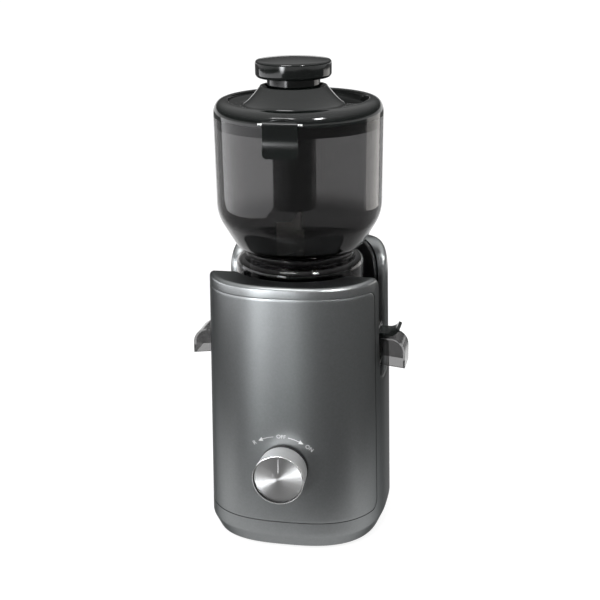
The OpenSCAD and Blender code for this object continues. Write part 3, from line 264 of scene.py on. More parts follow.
# Painted shade: the jar's tint falls to 0.26 of itself below 281 mm, darkening its lower cone.
JAR_SMOKE_PAINTED_SHADE = smoky("jar_smoke_painted_shade", SMOKE_TINT, 0.02, painted_shade=(281, 302, 0.26))
AUGER = grained("auger_resin", (0.02, 0.021, 0.021), (0.035, 0.036, 0.036), (0.35, 0.5), fine=1500)
WING = grained("wing_resin", (0.66, 0.64, 0.58), (0.80, 0.78, 0.72), (0.35, 0.45), fine=1500)
RUBBER = grained("black_rubber", (0.012, 0.012, 0.012), (0.022, 0.022, 0.022), (0.65, 0.8), fine=1800)
RUBBER_GREY = grained("grey_silicone", (0.10, 0.10, 0.10), (0.15, 0.15, 0.15), (0.5, 0.65), fine=1800)
STEEL = grained("stainless_steel", (0.50, 0.50, 0.50), (0.62, 0.62, 0.62), (0.22, 0.34),
                metallic=1.0, fine=1600)
CORE = grained("laminated_core", (0.16, 0.16, 0.17), (0.26, 0.26, 0.27), (0.4, 0.5), metallic=1.0, fine=900)
MAGNET = grained("ferrite_magnet", (0.05, 0.05, 0.055), (0.08, 0.08, 0.085), (0.5, 0.65), fine=1300)
COPPER = grained("enamelled_copper", (0.42, 0.17, 0.07), (0.62, 0.28, 0.12), (0.25, 0.4),
                 metallic=1.0, fine=1100)
GEAR = grained("white_acetal", (0.66, 0.65, 0.61), (0.75, 0.74, 0.70), (0.35, 0.45), fine=1500)
BOARD = grained("green_board", (0.01, 0.07, 0.035), (0.02, 0.11, 0.05), (0.3, 0.45), fine=1200)
LINER = grained("cradle_liner", (0.02, 0.021, 0.022), (0.032, 0.033, 0.034), (0.4, 0.55), fine=2200)
ALUMINIUM = grained("spun_aluminium", (0.55, 0.55, 0.54), (0.72, 0.72, 0.71), (0.2, 0.3),
                    metallic=1.0, fine=2000)

BY_SLOT = {
    "housing": GUNMETAL, "liner": LINER, "black_gloss": GLOSS_BLACK, "black_matte": MATTE_BLACK,
    "auger_black": AUGER, "wing_grey": WING, "smoke_clear": SMOKE, "gear_plastic": GEAR, "board": BOARD,
    "rubber_black": RUBBER, "rubber_grey": RUBBER_GREY, "steel": STEEL, "core": CORE, "magnet": MAGNET,
    "copper": COPPER, "dial_metal": ALUMINIUM,
}
print(len(BY_SLOT), "slots:", ", ".join(sorted(BY_SLOT)))

# %% [markdown]
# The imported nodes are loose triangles. A small geometry-node modifier welds them and smooths every
# edge that is flatter than a crease angle, so turned parts look turned.

# %% Smooth nodes
def smoothing_group():
    group = bpy.data.node_groups.new("weld_and_smooth", "GeometryNodeTree")
    group.interface.new_socket("Geometry", in_out="INPUT", socket_type="NodeSocketGeometry")
    group.interface.new_socket("Geometry", in_out="OUTPUT", socket_type="NodeSocketGeometry")
    start, end = node(group, "NodeGroupInput"), node(group, "NodeGroupOutput")
    weld = node(group, "GeometryNodeMergeByDistance")
    weld.inputs["Distance"].default_value = 1e-5
    faces = node(group, "GeometryNodeSetShadeSmooth", domain="FACE")
    edges = node(group, "GeometryNodeSetShadeSmooth", domain="EDGE")
    angle = node(group, "GeometryNodeInputMeshEdgeAngle")
    flatter = node(group, "FunctionNodeCompare", data_type="FLOAT", operation="LESS_THAN")
    flatter.inputs["B"].default_value = math.radians(32)
    link = group.links.new
    link(start.outputs[0], weld.inputs["Geometry"])
    link(weld.outputs["Geometry"], faces.inputs["Geometry"])
    link(faces.outputs["Geometry"], edges.inputs["Geometry"])
    link(angle.outputs["Unsigned Angle"], flatter.inputs["A"])
    link(flatter.outputs["Result"], edges.inputs["Shade Smooth"])
    link(edges.outputs["Geometry"], end.inputs[0])
    return group


SMOOTH = smoothing_group()
slot_of = {part["node"]: part["material_slot"] for part in frame["record"]["subparts"]}
for name, obj in nodes.items():
    modifier = obj.modifiers.new("smooth", "NODES")
    modifier.node_group = SMOOTH
    if not obj.material_slots:
        obj.data.materials.append(None)
    for place in obj.material_slots:
        place.link = "OBJECT"
        place.material = JAR_SMOKE_PAINTED_SHADE if name == "hopper_jar" else BY_SLOT[slot_of[name]]
print(len(nodes), "nodes smoothed")

# %% [markdown]
# The housing is the largest surface, and every lamp shows in it, so it is worked out from the same
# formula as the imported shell: a superellipse in plan whose width and depth change with the height.
# A point of the wall is named by how far round it lies, from 0 at the front centre over 1 at the
# side to 2 at the rear centre, by its height, and by how deep it lies under the surface.

# %% Housing wall
PLAN_POWER = 2.8
FOOT_TOP, FOOT_LOW, FOOT_ROUND = 14.0, 2.2, 6.5
FRONT_TOP, REAR_TOP, LIP_TOP = 243.0, 257.0, 246.0
WIDTH, WIDTH_TAPER = 164.0, 6.0
FRONT_DEPTH, FRONT_TAPER = 87.0, 7.0
REAR_DEPTH, REAR_TAPER = 85.0, 3.0
quarter = np.linspace(0, math.pi / 2, 4001)
unit_x, unit_y = np.sin(quarter) ** (2 / PLAN_POWER), np.cos(quarter) ** (2 / PLAN_POWER)
unit_share = np.concatenate([[0], np.cumsum(np.hypot(np.diff(unit_x), np.diff(unit_y)))])
unit_share /= unit_share[-1]


def rise(z):
    """0 where the foot ends and 1 at the front's top, the scale of every taper."""
    return (z - FOOT_TOP) / (FRONT_TOP - FOOT_TOP)


def half_width(z):
    return (WIDTH - WIDTH_TAPER * rise(z)) / 2


def depth_at(in_front, z):
    """How far the wall lies from the middle at its front or its rear centre."""
    return np.where(in_front, FRONT_DEPTH - FRONT_TAPER * rise(z), REAR_DEPTH - REAR_TAPER * rise(z))


def wall(s, z, deep=0.0):
    """x = (half width - inset) * sin^(2/n), y = (depth - inset) * cos^(2/n) at share s of the way
    round; the inset is the depth under the surface plus the foot's: a straight slope outside, a
    quarter ellipse inside."""
    s, z, deep = np.broadcast_arrays(np.asarray(s, float), np.asarray(z, float), np.asarray(deep, float))
    near = np.clip((FOOT_TOP - z) / FOOT_TOP, 0, 1)
    inset = deep + FOOT_ROUND * np.where(deep > 1, 1 - np.sqrt(1 - near**2), near)
    front = np.abs(s) < 1
    share = np.where(front, np.abs(s), 2 - np.abs(s))
    x = np.sign(s) * (half_width(z) - inset) * np.interp(share, unit_share, unit_x)
    y = np.where(front, -1, 1) * (depth_at(front, z) - inset) * np.interp(share, unit_share, unit_y)
    return np.stack([x, y, z], -1)


def share_at(y, z):
    """The share s at which the wall has this y, from the table the other way round."""
    y, z = np.broadcast_arrays(np.asarray(y, float), np.asarray(z, float))
    level = np.abs(y) / depth_at(y < 0, z)
    share = np.interp(level, unit_y[::-1], unit_share[::-1])
    return np.where(y < 0, share, 2 - share)


print("front, side and rear of the wall at 200 mm:", wall([0, 1, 2], 200).round(1).tolist())

# %% [markdown]
# Seen from the side, the top of the shell is an outline of lines and arcs: the front wall, the deep
# slot that the spout stands in, and the taller rear wall with its sweep. Each column of the grid
# starts at a point of that outline. Left of the slot, the columns keep to fixed distances from the
# front, so that the panel's edge, 41 mm before the middle, is itself a column.

# %% Side outline of the shell
PANEL_SIDE, PANEL_LOW, PANEL_HIGH, PANEL_ROUND = -41.0, 26.6, 236.0, 9.0
PANEL_TURN = PANEL_SIDE - PANEL_ROUND
LIP_ROUND, SLOT_ROUND, SWEEP = 11, 13, 30
SLOT_FRONT, SLOT_BACK, SLOT_FLOOR = -30, 36, 148
SWEEP_END = SLOT_BACK + SWEEP


def arc_points(centre, radius, first, last, steps):
    """Points of an arc and their unit directions, angles in degrees."""
    angle = np.radians(np.linspace(first, last, steps))
    way = np.stack([np.cos(angle), np.sin(angle)], -1)
    return np.asarray(centre) + radius * way, way


def side_outline():
    """The outline behind the panel's edge as (y, z), and at each point the unit way into the wall."""
    parts = [
        (arc_points((PANEL_SIDE, LIP_TOP - LIP_ROUND), LIP_ROUND, 90, 0, 9), -1),
        (arc_points((SLOT_FRONT + SLOT_ROUND, SLOT_FLOOR + SLOT_ROUND), SLOT_ROUND, 180, 270, 9), 1),
        (arc_points((SLOT_BACK - SWEEP, SLOT_FLOOR + SWEEP), SWEEP, 270, 360, 15), 1),
        (arc_points((SWEEP_END, REAR_TOP - SWEEP), SWEEP, 180, 90, 15), -1),
    ]
    points, ways = [], []
    for (place, way), sign in parts:
        if points:
            start, gap = points[-1][-1], place[0] - points[-1][-1]
            steps = max(2, int(np.hypot(*gap) / 5))
            share = np.arange(1, steps)[:, None] / steps
            between = start + gap * share
            if abs(gap[0]) > 1:
                between = between[np.abs(between[:, 0]) > 0.6]
                between = np.vstack([between[between[:, 0] < 0], [[-0.001, start[1]], [0.001, start[1]]],
                                     between[between[:, 0] > 0]])
            points.append(between)
            ways.append(np.repeat(ways[-1][-1:], len(between), 0))
        points.append(place)
        ways.append(sign * way)
    return np.vstack(points), np.vstack(ways)


outline, inward = side_outline()
print("side outline:", len(outline), "points from", outline[0].round(1), "to", outline[-1].round(1))

# %% [markdown]
# The grid runs up the outside, over the round of the rim, across the top face to the edge of the well
# and down the inside. The right half is made first, and the left half is its mirror image.

# %% Housing grid
RIM_ROUND, SKIN = 3.8, 3.2
WELL_FRONT, WELL_REAR = 62.7, 75.2
LEVELS = np.concatenate([
    [PANEL_LOW, 29.6, 32.6], np.linspace(PANEL_LOW + PANEL_ROUND, PANEL_HIGH - PANEL_ROUND, 30),
    [230, 233, PANEL_HIGH, LIP_TOP - RIM_ROUND]])
FOOT_LEVELS = FOOT_TOP - (FOOT_TOP - FOOT_LOW) * np.sin(np.linspace(math.pi / 2, 0, 10))
FOOT_LEVELS = np.concatenate([FOOT_LEVELS[:-1], [FOOT_TOP - 0.5, FOOT_TOP + 0.5, 18.0, 22.0]])
FRONT_SHARE = np.linspace(0, 1, 41)
EDGE_Y = np.linspace(PANEL_TURN, PANEL_SIDE, 4)[1:]


def front_share(z):
    """Shares of the columns in front of the panel's edge, one row for each height z."""
    z = np.asarray(z, float).reshape(-1, 1)
    return np.hstack([FRONT_SHARE * share_at(PANEL_TURN, z), share_at(EDGE_Y, z)])


def rear_top_outline():
    """The rear wall's flat top from the end of the sweep to the rear centre, as shares."""
    return np.linspace(share_at(SWEEP_END, REAR_TOP), 2, 30)[1:]


def housing_half():
    """Rows of the right half: foot, wall up to the rim's round, the round, the top face to the edge
    of the well, its underside and the inner wall down again. Every row is one share s, one height z
    and one depth per column, and the grid is closed from the last row to the first."""
    back = rear_top_outline()
    top_y, top_z = outline.T
    way_y, way_z = inward.T
    fore, count = len(FRONT_SHARE) + len(EDGE_Y), len(outline) - 1 + len(back)

    def edge(off):
        """Share and height of the outline moved off mm into the wall, for every column."""
        y, z = top_y[1:] + off * way_y[1:], top_z[1:] + off * way_z[1:]
        side = share_at(y, z)
        s = np.concatenate([front_share(LIP_TOP - off)[0], side, back])
        return s, np.concatenate([np.full(fore, LIP_TOP - off), z, np.full(len(back), REAR_TOP - off)])

    def below(off, deep):
        """Rows from the table up to the edge at this offset."""
        s_top, z_top = edge(off)
        share = (LEVELS - PANEL_LOW) / (LEVELS[-1] - PANEL_LOW)
        z = PANEL_LOW + share[:, None] * (z_top - PANEL_LOW)
        run = np.abs(np.diff(s_top[fore - 1:])) * 75 + 0.3 * np.abs(np.diff(z_top[fore - 1:])) + 0.15
        start = share_at(PANEL_SIDE, PANEL_LOW)
        s_low = start + np.cumsum(run) / run.sum() * (2 - start)
        s = s_low + share[:, None] * (s_top[fore:] - s_low)
        s = np.hstack([front_share(z[:, 0]), s])
        foot = np.hstack([front_share(FOOT_LEVELS), np.repeat(s_low[None], len(FOOT_LEVELS), 0)])
        foot_z = np.repeat(FOOT_LEVELS[:, None], fore + count, 1)
        return wall(np.vstack([foot, s]), np.vstack([foot_z, z]), deep)

    rows = [below(RIM_ROUND, 0.0)]
    for angle in np.linspace(0, math.pi / 2, 8)[1:]:
        s, z = edge(RIM_ROUND * (1 - math.sin(angle)))
        rows.append(wall(s, z, RIM_ROUND * (1 - math.cos(angle)))[None])
    rim = rows[-1][0]
    last_front, first_back = rim[fore - 1, 1], rim[-len(back) - 1, 1]
    x, y, z = rim.T
    to_front = -WELL_FRONT + (y - y[0]) * (WELL_FRONT + last_front) / (last_front - y[0])
    to_rear = WELL_REAR - (y[-1] - y) * (WELL_REAR - first_back) / (y[-1] - first_back)
    column = np.arange(len(y))
    well_y = np.where(column < fore, to_front, np.where(column >= len(y) - len(back), to_rear, y))
    reach = np.where(well_y < 0, WELL_FRONT, WELL_REAR)
    well_x = np.sqrt(np.maximum(reach**2 - well_y**2, 0))
    well = np.stack([np.minimum(well_x, np.maximum(x - 0.3, 0)), well_y, z], -1)
    rows.append((0.5 * (rim + well))[None])
    rows.append(well[None])
    under = well.copy()
    into = np.zeros((len(y), 2))
    into[:, 1] = -1
    into[fore:fore + len(outline) - 1] = inward[1:]
    under[:, 1:] += SKIN * into
    rows.append(under[None])
    rows.append(below(SKIN, SKIN)[::-1])
    return np.vstack(rows)


def both_sides(half):
    """The right half and its mirror image as one closed loop of columns."""
    return np.hstack([half, half[:, -2:0:-1] * [-1, 1, 1]])


half = housing_half()
shell = both_sides(half)
print("housing grid:", shell.shape)

# %% [markdown]
# The panel lies in a shallow recess. Its outline is a rectangle with round corners, and every ring
# of the panel and of the recess is that outline drawn towards the middle.

# %% Panel outline and recess
RECESS, RECESS_RINGS = 2.2, 8


def panel_outline(inset):
    """The seam's outline as (share, height), drawn in by inset, starting at the top centre."""
    corner = PANEL_ROUND - inset
    side_y, low, high = PANEL_SIDE - inset, PANEL_LOW + inset, PANEL_HIGH - inset
    rows = LEVELS[(LEVELS > PANEL_LOW + PANEL_ROUND + 1) & (LEVELS < PANEL_HIGH - PANEL_ROUND - 1)]
    top = [(u * share_at(PANEL_TURN, high), high) for u in FRONT_SHARE]
    (upper, _), (lower, _) = (arc_points((PANEL_TURN, centre), corner, first, last, 7)
                              for centre, first, last in ((PANEL_HIGH - PANEL_ROUND, 90, 0),
                                                          (PANEL_LOW + PANEL_ROUND, 0, -90)))
    sides = [(y, z) for y, z in upper[1:]] + [(side_y, z) for z in rows[::-1]] + [(y, z) for y, z in lower]
    right = top + [(float(share_at(y, z)), z) for y, z in sides]
    right += [(u * share_at(PANEL_TURN, low), low) for u in FRONT_SHARE[-2::-1]]
    right = np.array(right)
    left = right[-2:0:-1] * [-1, 1]
    return np.vstack([right, left])


def rings_inward(outline_points, deep, count):
    """Rings from an outline to the middle of the panel, all at one depth."""
    middle = np.array([0, (PANEL_LOW + PANEL_HIGH) / 2])
    share = np.linspace(1, 0, count)[:, None, None]
    ring = middle + share * (outline_points - middle)
    return wall(ring[..., 0], ring[..., 1], deep)


def corner_fillers():
    """The four small triangles of wall between the seam's round corners and its square grid."""
    grids = []
    for side in (1, -1):
        for corner_z, centre_z, first, last in ((PANEL_HIGH, PANEL_HIGH - PANEL_ROUND, 90, 0),
                                                (PANEL_LOW, PANEL_LOW + PANEL_ROUND, 0, -90)):
            arc, _ = arc_points((PANEL_TURN, centre_z), PANEL_ROUND, first, last, 7)
            corner = np.array([PANEL_SIDE, corner_z])
            place = corner + np.linspace(0, 1, 4)[:, None, None] * (arc - corner)
            points = wall(share_at(place[..., 0], place[..., 1]), place[..., 1]) * [side, 1, 1]
            grids.append((points, grid_faces(4, 7, close_columns=False)))
    return grids


rows, columns = shell.shape[:2]
quads = grid_faces(rows, columns, close_rows=True).reshape(rows, columns, 4)
fore = len(FRONT_SHARE) + len(EDGE_Y) - 1
first, last = len(FOOT_LEVELS), len(FOOT_LEVELS) + len(LEVELS) - 2
keep = np.ones((rows, columns), bool)
keep[first:last, :fore] = False
keep[first:last, -fore:] = False
seam = panel_outline(0.0)
ring_count = len(seam)
recess = np.vstack([wall(*seam.T)[None], rings_inward(seam, RECESS, RECESS_RINGS)])
piece("housing", [(shell, quads[keep]), (recess, grid_faces(RECESS_RINGS + 1, ring_count))] + corner_fillers(),
      "base", GUNMETAL, ("housing_front", "housing_rear"))

PANEL_GAP, PANEL_EDGE, PANEL_T = 0.4, 0.55, 1.6
turn_over = np.linspace(0, math.pi / 2, 5)
edge_rows = [wall(*panel_outline(PANEL_GAP + PANEL_EDGE * (1 - math.cos(a))).T,
                  PANEL_EDGE * (1 - math.sin(a)))[None] for a in turn_over]
face_rows = rings_inward(panel_outline(PANEL_GAP + PANEL_EDGE), 0.0, 40)[1:]
back_rows = rings_inward(panel_outline(PANEL_GAP), PANEL_T, 6)[::-1]
panel_rows = np.vstack([back_rows] + edge_rows + [face_rows])
piece("front_panel_skin", [(panel_rows, grid_faces(len(panel_rows), ring_count))], "base", GUNMETAL,
      ("front_panel",))

# %% [markdown]
# The dial is turned aluminium. Its side is satin, its rim is polished, and a groove parts the
# rim from the face, its walls painted near black as painted shade. The face's fine circular tool
# marks spread every highlight into an hourglass. All of it is one profile turned round the dial's
# own axis, which points to the front.

# %% Dial
DIAL_Z, DIAL_R, DIAL_BACK, DIAL_FRONT = 79.5, 22.9, -87.9, -110.6


def faced(profile, segments=144, close=True):
    """A profile of (radius, y) turned round the dial's axis, which lies along y at the dial's height."""
    points, quads = spun(profile, segments, close=close)
    turned = np.stack([points[..., 0], points[..., 2], DIAL_Z + points[..., 1]], -1)
    return turned, quads


def spun_metal(name, colour, rough, marks):
    """Turned aluminium: colour, gloss and relief vary in rings, by a wave in the distance from the axis."""
    material, tree, shader = new_material(name)
    place = node(tree, "ShaderNodeTexCoord")
    centre = node(tree, "ShaderNodeMapping", vector_type="POINT")
    centre.inputs["Location"].default_value = (0, 0, -DIAL_Z * MM)
    tree.links.new(place.outputs["Object"], centre.inputs["Vector"])
    flat = node(tree, "ShaderNodeVectorMath", operation="MULTIPLY")
    flat.inputs[1].default_value = (1, 0, 1)
    tree.links.new(centre.outputs["Vector"], flat.inputs[0])
    away = node(tree, "ShaderNodeVectorMath", operation="LENGTH")
    tree.links.new(flat.outputs["Vector"], away.inputs[0])
    rings = node(tree, "ShaderNodeTexNoise", noise_dimensions="1D")
    rings.inputs["Scale"].default_value = marks
    rings.inputs["Detail"].default_value = 3
    tree.links.new(away.outputs["Value"], rings.inputs["W"])
    tone = node(tree, "ShaderNodeValToRGB")
    tone.color_ramp.elements[0].position, tone.color_ramp.elements[1].position = 0.3, 0.7
    tone.color_ramp.elements[0].color = (*[c * 0.9 for c in colour], 1)
    tone.color_ramp.elements[1].color = (*colour, 1)
    tree.links.new(rings.outputs["Fac"], tone.inputs["Fac"])
    tree.links.new(tone.outputs["Color"], shader.inputs["Base Color"])
    gloss = node(tree, "ShaderNodeMapRange")
    gloss.inputs["To Min"].default_value, gloss.inputs["To Max"].default_value = rough, rough + 0.08
    tree.links.new(rings.outputs["Fac"], gloss.inputs["Value"])
    tree.links.new(gloss.outputs["Result"], shader.inputs["Roughness"])
    relief = node(tree, "ShaderNodeBump")
    relief.inputs["Strength"].default_value = 0.35
    relief.inputs["Distance"].default_value = 0.00002
    tree.links.new(rings.outputs["Fac"], relief.inputs["Height"])
    tree.links.new(relief.outputs["Normal"], shader.inputs["Normal"])
    shader.inputs["Metallic"].default_value = 1.0
    return material, tree, shader


SATIN_METAL, _, _ = spun_metal("satin_aluminium", (0.90, 0.90, 0.90), 0.48, 900)
SPUN_FACE, face_tree, face_shader = spun_metal("spun_aluminium_face", (0.66, 0.66, 0.66), 0.34, 2600)
ALONG = node(face_tree, "ShaderNodeTangent", direction_type="RADIAL", axis="Y")
face_tree.links.new(ALONG.outputs["Tangent"], face_shader.inputs["Tangent"])
face_shader.inputs["Anisotropic"].default_value = 0.93
RIM_METAL, _, _ = spun_metal("polished_rim", (0.80, 0.80, 0.80), 0.12, 400)
# Painted shade: the groove's aluminium walls are given a near black colour to stand for the shade in the gap.
GROOVE_PAINTED_SHADE = grained("groove_painted_shade", (0.010, 0.010, 0.011), (0.016, 0.016, 0.017), (0.3, 0.4), fine=1800)

BACK_R, BACK_EDGE, RIM_DEEP, RIM_EDGE, CUP_DEEP = 21.9, 0.4, 1.1, 0.7, 3.5
front = DIAL_FRONT
side_back, side_front = DIAL_BACK - BACK_EDGE, front + RIM_DEEP
body_profile = np.array(
    [(0, DIAL_BACK), (BACK_R - 0.5, DIAL_BACK), (BACK_R, side_back)]
    + [(BACK_R + (DIAL_R - BACK_R) * u, side_back + (side_front - side_back) * u)
       for u in np.linspace(0.1, 1, 8)]
    + [(DIAL_R - RIM_EDGE * (1 - math.cos(a)), side_front - RIM_EDGE * math.sin(a))
       for a in np.linspace(0.2, math.pi / 2, 6)]
    + [(22.3, front + 0.4), (22.15, front + 0.5)]
    + [(radius, front + CUP_DEEP) for radius in (22.1, 20.0, 0)])
KNOB = piece("dial_body", [faced(body_profile, close=False)], "dial", SATIN_METAL,
             ("dial_knob",), sharp=50)
KNOB.data.materials.append(RIM_METAL)
KNOB.data.materials.append(GROOVE_PAINTED_SHADE)
near = np.array([p.center[:] for p in KNOB.data.polygons]) / MM
away = np.hypot(near[:, 0], near[:, 2] - DIAL_Z)
which = np.where(near[:, 1] > side_front, 0, 1)
# The faces inside the rim take the groove's painted shade.
which[(away < 22.2) & (near[:, 1] < front + CUP_DEEP + 0.5)] = 2
KNOB.data.polygons.foreach_set("material_index", which.astype(np.int32))
FACE_R, FACE_Y = 22.0, front + 3.0
FACE_T, FACE_BEVEL = 0.45, 0.15
face_profile = [(0, FACE_Y + FACE_T), (FACE_R, FACE_Y + FACE_T), (FACE_R, FACE_Y + FACE_BEVEL)]
face_profile += [(FACE_R - FACE_BEVEL, FACE_Y)] + [(r, FACE_Y) for r in np.linspace(FACE_R - 0.5, 0, 24)]
piece("dial_front", [faced(face_profile, close=False)], "dial", SPUN_FACE, ("dial_face",),
      sharp=40)


def slab(corners, back_y, front_y):
    """A flat solid between two depths whose outline is a four-cornered (x, z) figure."""
    ring = np.array([[(x, y, z) for x, z in corners] for y in (back_y, front_y)])
    square = grid_faces(2, 2, close_columns=False)
    ends = [(ring[k][[0, 1, 3, 2]].reshape(2, 2, 3), square) for k in (0, 1)]
    return [(ring, grid_faces(2, 4))] + ends


LINE_MARK = grained("pale_mark", (0.46, 0.46, 0.46), (0.56, 0.56, 0.56), (0.4, 0.5), fine=1500)
LINE_HALF, LINE_LOW, LINE_HIGH = 0.6, 85.2, 99.0
line = [(-LINE_HALF, LINE_LOW), (LINE_HALF, LINE_LOW), (LINE_HALF, LINE_HIGH), (-LINE_HALF, LINE_HIGH)]
piece("dial_line", slab(line, FACE_Y + 0.2, FACE_Y - 0.04), "dial", LINE_MARK,
      ("dial_pointer",))

# %% [markdown]
# The words round the dial are printed in white: R, OFF and ON, with an arrow to each side. Letters are
# made as text, turned into a mesh and laid on the panel, point by point, with a thickness of ink.

# %% Print
def panel_y(x, z):
    """The wall's y at this x and height, found through the share at which the wall has this x."""
    return wall(np.interp(np.abs(x) / half_width(z), unit_x, unit_share), z)[..., 1]


INK, _, ink_shader = new_material("white_ink")
ink_place = node(INK.node_tree, "ShaderNodeTexCoord")
ink_grain = node(INK.node_tree, "ShaderNodeGroup", node_tree=GRAIN)
ink_grain.inputs["Fine"].default_value = 3000.0
INK.node_tree.links.new(ink_place.outputs["Object"], ink_grain.inputs["Vector"])
ink_tone = node(INK.node_tree, "ShaderNodeValToRGB")
ink_tone.color_ramp.elements[0].color = (0.60, 0.61, 0.61, 1)
ink_tone.color_ramp.elements[1].color = (0.74, 0.75, 0.75, 1)
INK.node_tree.links.new(ink_grain.outputs["Mask"], ink_tone.inputs["Fac"])
INK.node_tree.links.new(ink_tone.outputs["Color"], ink_shader.inputs["Base Color"])
ink_shader.inputs["Roughness"].default_value = 0.45
INK_T, INK_SUNK = 0.06, 0.03
PRINT_CENTRE, PRINT_R = np.array([-2.8, 69.1]), 40.2


def on_print_arc(angle):
    """The place on the printed arc at this angle from its top, in degrees."""
    return PRINT_CENTRE + PRINT_R * np.array([math.sin(math.radians(angle)), math.cos(math.radians(angle))])


def letters(words, size, turn, centre):
    """A word as flat triangles (x, z), turned about its middle by turn degrees, centred at centre."""
    curve = bpy.data.curves.new("letters", "FONT")
    curve.body, curve.size = words, size
    curve.align_x, curve.align_y = "CENTER", "CENTER"
    carrier = bpy.data.objects.new("letters", curve)
    scene.collection.objects.link(carrier)
    bpy.context.view_layer.update()
    mesh = bpy.data.meshes.new_from_object(carrier)
    work = bmesh.new()
    work.from_mesh(mesh)
    bmesh.ops.remove_doubles(work, verts=work.verts, dist=1e-4)
    bmesh.ops.triangulate(work, faces=work.faces)
    flat = np.array([v.co[:2] for v in work.verts])
    faces = np.array([[v.index for v in f.verts] for f in work.faces])
    work.free()
    bpy.data.objects.remove(carrier)
    bpy.data.meshes.remove(mesh)
    cos, sin = math.cos(math.radians(turn)), math.sin(math.radians(turn))
    flat = flat @ np.array([[cos, sin], [-sin, cos]]) + centre
    return flat, faces


def arrow(radius, first, last, width, head):
    """A thin arc round the dial from angle first to last, degrees from the top, and its arrow head."""
    sign = 1 if last > first else -1
    angle = np.radians(np.linspace(first, last - sign * math.degrees(head / radius) * 0.7, 14))
    centre = PRINT_CENTRE
    inner = centre + (radius - width / 2) * np.stack([np.sin(angle), np.cos(angle)], -1)
    outer = centre + (radius + width / 2) * np.stack([np.sin(angle), np.cos(angle)], -1)
    count = len(angle)
    points = np.vstack([inner, outer])
    faces = [(i, i + 1, count + i + 1) for i in range(count - 1)] + [
        (i, count + i + 1, count + i) for i in range(count - 1)]
    back = math.radians(last) - sign * head / radius
    tip = centre + radius * np.array([math.sin(math.radians(last)), math.cos(math.radians(last))])
    way = np.array([math.sin(back), math.cos(back)])
    wings = [centre + (radius + k * head * 0.46) * way for k in (-1, 1)]
    points = np.vstack([points, [tip], wings])
    return points, np.array(faces + [(2 * count, 2 * count + 1, 2 * count + 2)])


def printed(shapes):
    """Ink solids: each flat shape is laid on the wall, raised by the ink's thickness, with its sides."""
    mesh = bpy.data.meshes.new("dial_print")
    work = bmesh.new()
    for flat, faces in shapes:
        y = panel_y(flat[:, 0], flat[:, 1])
        verts = [work.verts.new((x * MM, (d + INK_SUNK) * MM, z * MM)) for (x, z), d in zip(flat, y)]
        made = [work.faces.new([verts[k] for k in face]) for face in faces]
        grown = bmesh.ops.extrude_face_region(work, geom=made)
        moved = [v for v in grown["geom"] if isinstance(v, bmesh.types.BMVert)]
        bmesh.ops.translate(work, verts=moved, vec=(0, -(INK_T + INK_SUNK) * MM, 0))
    bmesh.ops.recalc_face_normals(work, faces=work.faces)
    work.to_mesh(mesh)
    work.free()
    mesh.materials.append(INK)
    obj = bpy.data.objects.new("dial_print", mesh)
    scene.collection.objects.link(obj)
    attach(obj, "base")
    print("dial_print", len(mesh.polygons), "faces")
    return obj


printed([
    letters("OFF", 4.9, 0, on_print_arc(1)),
    letters("R", 5.2, 33, on_print_arc(-36)),
    letters("ON", 5.0, -37, on_print_arc(40)),
    arrow(PRINT_R, -9, -30, 0.55, 4.2),
    arrow(PRINT_R, 10, 31, 0.55, 4.2),
])

# %% [markdown]
# The lid is one closed surface. Its rows are circles whose centre glides from the juicer's axis, where
# they form the outer ring, to the feed chute's axis 19.5 mm further forward. The height of the dish
# between them is that of the flare round the chute, so ring, dish and flare run into each other.

# %% Lid
CHUTE_Y, DISH_Z, FLARE_R, FLARE_W, FLARE_H = -19.5, 394.4, 44.5, 15.2, 15.0
LID_R, RIM_Z, RING_Z, RING_W, RING_H, DISH_R, LIP_R = 75.0, 382.0, 383.5, 12.0, 13.0, 61.9, 29.3
LATCH_HALF, LATCH_FLAT, LID_COLUMNS = 16.5, -73.6, 192


def lid_height(x, y):
    """z = 394.4 + 15 u^1.35 with u = (44.5 - d) / 15.2 and d the distance to the chute's axis, less a
    groove of 1.3 mm round the flare, one of 0.6 mm by the ring, and a dip of 5 mm at the back right."""
    d, r = np.hypot(x, y - CHUTE_Y), np.hypot(x, y)
    u = np.clip((FLARE_R - d) / FLARE_W, 0, 1)
    grooves = 1.3 * np.exp(-(((d - FLARE_R - 0.4) / 0.8) ** 2)) + 0.6 * np.exp(-(((62.0 - r) / 0.9) ** 2))
    back = np.clip((y + 0.4 * (x - 30) + 8) / 7, 0, 1) * np.clip((x + 10) / 14, 0, 1)
    away = np.clip((d - FLARE_R) / 2.5, 0, 1) * np.clip((61.2 - r) / 1.0, 0, 1)
    return DISH_Z + FLARE_H * u**1.35 - grooves - 5 * back**2 * (3 - 2 * back) * away


